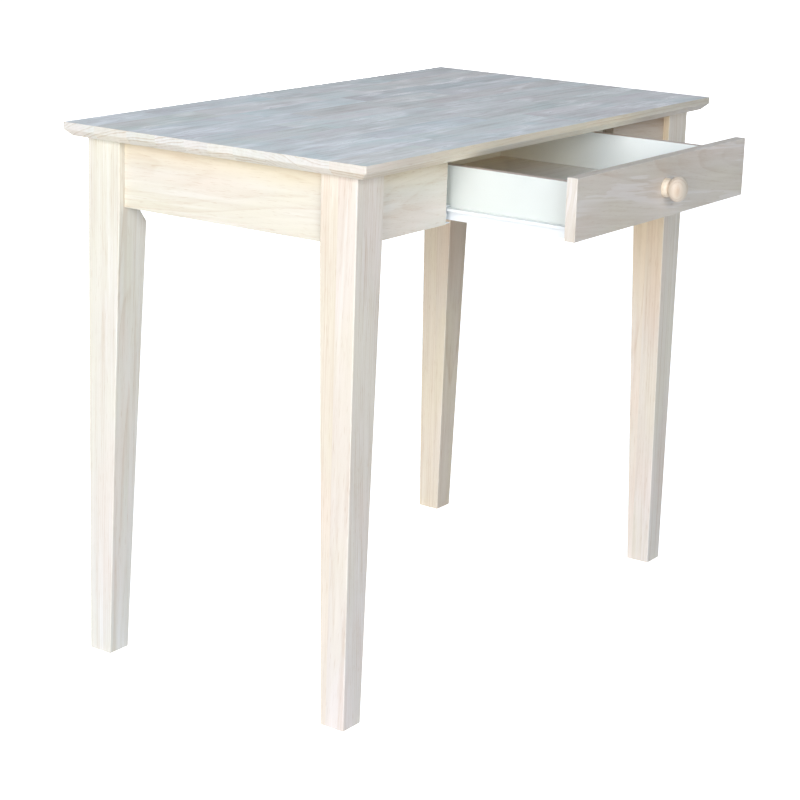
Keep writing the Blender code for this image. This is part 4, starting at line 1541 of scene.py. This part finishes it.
@dataclass
class Drawer:
    """Drawer front, white box, grey bottom, knob and their screws."""

    shop: Workshop
    front_stick: Stick = Stick(Along.X, (-0.262, 0.742), (0.05, 0.10), 41.3, (0.798, 0.747, 0.722))
    # The front's end faces are made paler and bluer: painted light.
    end_painted_light: Colour = (1.08, 1.12, 1.16)
    knob_stick: Stick = Stick(Along.Z, (0.03, -0.30), (0.0, 0.02), 47.9, (0.88, 0.80, 0.735))
    # The knob's base is made lighter: painted light where it sits in the shade of the cap.
    knob_base_painted_light: Colour = (1.15, 1.15, 1.15)
    # A brown tint towards the back of the box: painted shade under the top.
    back_painted_shade: Colour = (1.0, 0.85, 0.65)
    front_edge: float = 0.0012
    front_sharp: float = 0.012
    box_edge: float = 0.0005
    box_sharp: float = 0.02
    bottom_edge: float = 0.0003
    rim_depth: float = 0.0004
    inward_lean: float = 0.05
    knob_radius: float = 0.0177
    knob_base_radius: float = 0.0132
    knob_neck_radius: float = 0.0098
    knob_dome: float = 0.0115
    knob_base_length: float = 0.0085
    knob_base_round: float = 0.006
    knob_neck_length: float = 0.0015
    knob_sides: int = 96
    arc_steps: int = 14

    def build_knob(self) -> None:
        """Turns the knob."""
        low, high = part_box("drawer_knob")
        length = high.y - low.y
        rim = length - self.knob_dome
        cap_low = self.knob_base_length + self.knob_neck_length
        neck = self.knob_neck_radius
        dome = quarter_arc(0.0, rim, self.knob_radius, self.knob_dome, self.arc_steps)
        under = quarter_arc(neck, rim, self.knob_radius - neck, cap_low - rim, self.arc_steps)
        base_side = self.knob_base_length - self.knob_base_round
        base_wide = self.knob_base_radius - neck
        base = quarter_arc(neck, base_side, base_wide, self.knob_base_round, self.arc_steps)
        profile = dome + under[-2::-1] + base + [(self.knob_base_radius, 0.0), (0.0, 0.0)]
        profile[0] = (0.0, length)
        solid = Solid.turned(profile, self.knob_sides)
        seat = Vector(((low.x + high.x) / 2, high.y, (low.z + high.z) / 2))
        bmesh.ops.transform(solid.mesh, matrix=aim(seat, Vector((0, -1, 0))), verts=solid.mesh.verts)
        base_face = high.y - self.knob_base_length
        # The base of the knob takes the painted light.
        base_stick = self.knob_stick.stained(self.knob_base_painted_light)
        solid.lay_grain(lambda spot, facing: base_stick if spot.y > base_face else self.knob_stick)
        hardwood = self.shop.finishes.hardwood
        solid.settle("turned_knob", "drawer_knob", Body.DRAWER, Slot.BARE_WOOD, [hardwood])

    def build_box(self) -> None:
        """Dresses the white box and its grey bottom."""
        finishes = self.shop.finishes
        foils = [finishes.white_board, finishes.raw_edge, finishes.inner_board_painted_light]
        low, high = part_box("drawer_bottom")
        centre = (low + high) / 2

        def paint_back_shade(spot: Vector, facing: Vector) -> Colour:
            """Paints shade on the box as a brown tint that grows towards its back, which stays in the dark.
            """
            return blend_tints(PLAIN, self.back_painted_shade, (spot.y - centre.y) / (high.y - centre.y))

        for node in ("drawer_side_left", "drawer_side_right", "drawer_box_front", "drawer_back"):
            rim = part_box(node)[1].z
            solid = self.shop.eased(node, self.box_edge, Rounding.SOFT, self.box_sharp)
            solid.score(centre, (0, 1, 0))
            stick = replace(self.shop.pile.draw(Along.Y if "side" in node else Along.X), tint=PLAIN)
            solid.lay_grain(lambda spot, facing: stick, paint_back_shade)
            for face in solid.mesh.faces:
                middle = face.calc_center_median()
                if face.normal.z > SQUARE_ON and middle.z > rim - self.rim_depth:
                    face.material_index = foils.index(finishes.raw_edge)
                elif face.normal.xy.dot((centre - middle).xy) > self.inward_lean:
                    face.material_index = foils.index(finishes.inner_board_painted_light)
            solid.settle(f"{node}_foil", node, Body.DRAWER, Slot.WHITE_BOARD, foils, flat=True)
        node = "drawer_bottom"
        solid = self.shop.eased(node, self.bottom_edge, Rounding.CHAMFER, self.box_sharp)
        solid.score(centre, (0, 1, 0))
        stick = self.shop.pile.draw(Along.X)
        solid.lay_grain(lambda spot, facing: stick, paint_back_shade)
        panel = [finishes.grey_panel]
        solid.settle(f"{node}_panel", node, Body.DRAWER, Slot.DRAWER_BOTTOM, panel, flat=True)

    def build(self) -> None:
        """Dresses the drawer."""
        node = "drawer_front"
        solid = self.shop.eased(node, self.front_edge, Rounding.SOFT, self.front_sharp)
        # End faces take the painted light.
        painted_light_end = replace(self.front_stick, along=Along.Z).stained(self.end_painted_light)
        solid.lay_grain(lambda spot, facing: painted_light_end if abs(facing.x) > SQUARE_ON else self.front_stick)
        figured = self.shop.finishes.figured_face
        solid.settle(f"{node}_board", node, Body.DRAWER, Slot.BARE_WOOD, [figured], flat=True)
        self.build_box()
        self.build_knob()
        screws = CrossScrew(self.shop)
        for node in ("knob_screw", "front_screw_left", "front_screw_right"):
            screws.drive(node, Vector((0, -1, 0)), Body.DRAWER)


@dataclass
class RollerSlides:
    """Folded white slides with nylon rollers on riveted pins."""

    shop: Workshop
    bend: float = 0.0005
    sharp_length: float = 0.1
    roller_ease: float = 0.0006
    ease_shoulder: float = 0.3
    tread_width: float = 0.0020
    draft: float = 0.0002
    hub_radius: float = 0.0042
    hub_step: float = 0.0005
    bore: float = 0.0024
    roller_sides: int = 64
    roller_smooth: float = 35.0

    def build_roller(self, node: str) -> None:
        """Moulds one roller with a raised hub on each side, on the body of its own name.

        Args:
            node: the roller's CAD node.
        """
        low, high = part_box(node)
        half, radius = (high.x - low.x) / 2, (high.z - low.z) / 2
        ease, web, tread = self.roller_ease, half - self.hub_step, radius - self.tread_width
        shoulder = self.ease_shoulder * ease
        profile = [
            (self.bore, half),
            (self.hub_radius, half),
            (self.hub_radius + self.draft, web),
            (tread - self.draft, web),
            (tread, half),
            (radius - ease, half),
            (radius - shoulder, half - shoulder),
            (radius, half - ease),
        ]
        profile += [(out, -height) for out, height in reversed(profile)]
        solid = Solid.turned(profile, self.roller_sides, closed=True)
        axle = aim((low + high) / 2, Vector((1, 0, 0)))
        bmesh.ops.transform(solid.mesh, matrix=axle, verts=solid.mesh.verts)
        solid.mark_edges()
        nylon = self.shop.finishes.nylon
        solid.settle(f"{node}_moulded", node, Body(node), Slot.NYLON, [nylon], smooth=self.roller_smooth)

    def build(self) -> None:
        """Dresses both slides."""
        screws = CrossScrew(self.shop)
        for side, way in SIDES.items():
            for part, body in (("cabinet", Body.FRAME), ("drawer", Body.DRAWER)):
                node = f"{part}_slide_{side}"
                solid = self.shop.eased(node, self.bend, Rounding.SOFT, self.sharp_length)
                solid.mark_edges()
                enamel = self.shop.finishes.painted_steel
                solid.settle(f"{node}_folded", node, body, Slot.PAINTED_STEEL, [enamel])
                self.build_roller(f"{part}_roller_{side}")
                pin = f"{part}_roller_pin_{side}"
                solid = self.shop.solid(pin)
                solid.mark_edges()
                solid.settle(f"{pin}_rivet", pin, body, Slot.ZINC, [self.shop.finishes.zinc])
            for end in ("front", "back"):
                screws.drive(f"cabinet_slide_screw_{side}_{end}", Vector((way, 0, 0)), Body.FRAME)
                screws.drive(f"drawer_slide_screw_{side}_{end}", Vector((0, 0, 1)), Body.DRAWER)


@dataclass(frozen=True)
class Softbox:
    """A large soft light that faces the table."""

    name: str
    place: Triple
    size: Range
    power: float
    colour: Colour
    mirrored: bool = True
    target: Triple = (0.0, 0.0, 0.5)

    def hang(self) -> None:
        """Hangs the light, and keeps it out of reflections where it isn't to be mirrored."""
        lamp = bpy.data.lights.new(self.name, "AREA")
        lamp.shape = "RECTANGLE"
        lamp.size, lamp.size_y = self.size
        lamp.energy = self.power
        lamp.color = self.colour
        softbox = bpy.data.objects.new(self.name, lamp)
        softbox.matrix_world = aim(Vector(self.place), Vector(self.place) - Vector(self.target))
        softbox.visible_glossy = self.mirrored
        bpy.context.scene.collection.objects.link(softbox)


@dataclass
class Studio:
    """The camera's viewpoint, a pale floor and plain soft light."""

    place: Triple = (-2.5071, -1.631, 1.1879)
    azimuth: float = -54.7648
    elevation: float = 14.2229
    roll: float = 1.701
    lens: float = 94.4013
    sensor: float = 36.0
    sight: float = 60.0
    shift: Range = (0.024, -0.0775)
    floor_half: float = 40.0
    floor_colour: Colour = (0.84, 0.835, 0.825)
    floor_roughness: float = 0.9
    floor_glow: float = 0.9
    softboxes: tuple[Softbox, ...] = (
        Softbox("left_softbox", (-5.8, -1.0, 1.9), (2.8, 3.6), 240.0, (1.0, 0.955, 0.945)),
        Softbox("front_softbox", (-3.5, -4.5, 2.45), (2.8, 2.4), 154.0, (0.93, 0.955, 0.985)),
        Softbox("back_softbox", (4.4, 5.2, 0.9), (3.4, 1.6), 240.0, (1.0, 0.97, 0.94), mirrored=False),
    )
    horizon: Colour = (0.0, 0.0, 0.0)
    zenith: Colour = (0.205, 0.262, 0.328)
    horizon_height: float = 0.45

    def set_camera(self) -> None:
        """Stands the camera where the photograph was taken."""
        camera = bpy.data.objects.new("camera", bpy.data.cameras.new("camera"))
        camera.data.lens = self.lens
        camera.data.sensor_width = self.sensor
        camera.data.shift_x, camera.data.shift_y = self.shift
        camera.data.clip_end = self.sight
        side, lift, lean = (math.radians(angle) for angle in (self.azimuth, self.elevation, self.roll))
        ahead = Vector((-math.sin(side) * math.cos(lift), math.cos(side) * math.cos(lift), -math.sin(lift)))
        level = Vector((math.cos(side), math.sin(side), 0))
        up = level.cross(ahead)
        right = level * math.cos(lean) + up * math.sin(lean)
        over = up * math.cos(lean) - level * math.sin(lean)
        turn = Matrix((right, over, -ahead)).transposed().to_4x4()
        camera.matrix_world = Matrix.Translation(self.place) @ turn
        bpy.context.scene.collection.objects.link(camera)
        bpy.context.scene.camera = camera

    def seen_rays(self, graph: Graph) -> Socket:
        """Tells the rays that show the background from those that carry light.

        Args:
            graph: the tree of the floor or the world.

        Returns:
            1 for camera, glossy and transmission rays.
        """
        path = graph.node("LightPath")
        seen = graph.maths("MAXIMUM", path.outputs["Is Camera Ray"], path.outputs["Is Glossy Ray"])
        return graph.maths("MAXIMUM", seen, path.outputs["Is Transmission Ray"])

    def lay_floor(self) -> None:
        """Lays a plain pale floor that keeps the shadow and can be looked through from below."""
        mesh = bmesh.new()
        bmesh.ops.create_grid(mesh, x_segments=1, y_segments=1, size=self.floor_half)
        data = bpy.data.meshes.new("floor")
        mesh.to_mesh(data)
        mesh.free()
        floor = bpy.data.objects.new("floor", data)
        bpy.context.scene.collection.objects.link(floor)
        material, graph, shader = new_material("pale_floor")
        shader.inputs["Base Color"].default_value = (*self.floor_colour, 1.0)
        shader.inputs["Roughness"].default_value = self.floor_roughness
        shader.inputs["Specular IOR Level"].default_value = 0.0
        glow = graph.times(self.seen_rays(graph), self.floor_glow)
        graph.feed(shader.inputs["Emission Color"], glow)
        shader.inputs["Emission Strength"].default_value = 1.0
        below = graph.node("NewGeometry").outputs["Backfacing"]
        graph.feed(shader.inputs["Alpha"], graph.maths("SUBTRACT", 1.0, below))
        data.materials.append(material)

    def set_world(self) -> None:
        """Lights the room softly from overhead, and shows white behind the table."""
        world = bpy.data.worlds.new("room")
        bpy.context.scene.world = world
        world.use_nodes = True
        graph = Graph(world.node_tree)
        ground = world.node_tree.nodes["Background"]
        split = graph.node("SeparateXYZ")
        graph.feed(split.inputs[0], graph.node("TexCoord").outputs["Generated"])
        rise = graph.span(split.outputs["Z"], 0.0, self.horizon_height)
        room = graph.blend(rise, self.horizon, self.zenith)
        graph.feed(ground.inputs["Color"], graph.blend(self.seen_rays(graph), room, PLAIN))
        ground.inputs["Strength"].default_value = 1.0

    def build(self) -> None:
        """Sets camera, floor, softboxes and room."""
        bpy.context.scene.view_settings.view_transform = "Standard"
        self.set_camera()
        self.lay_floor()
        for softbox in self.softboxes:
            softbox.hang()
        self.set_world()
        LOG.info("studio: camera, floor, softboxes and room")


def main() -> None:
    """Loads the frame, dresses the table and keeps its size."""
    logging.basicConfig(level=logging.INFO, format="%(name)s %(message)s")
    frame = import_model()
    Studio().build()
    shop = Workshop(frame["nodes"], Finishes(Effects()), StickPile(seed=29))
    TableTop(shop).build()
    Legs(shop).build()
    ApronFrame(shop).build()
    CornerFixings(shop).build()
    Drawer(shop).build()
    RollerSlides(shop).build()


if __name__ == "__main__":
    main()
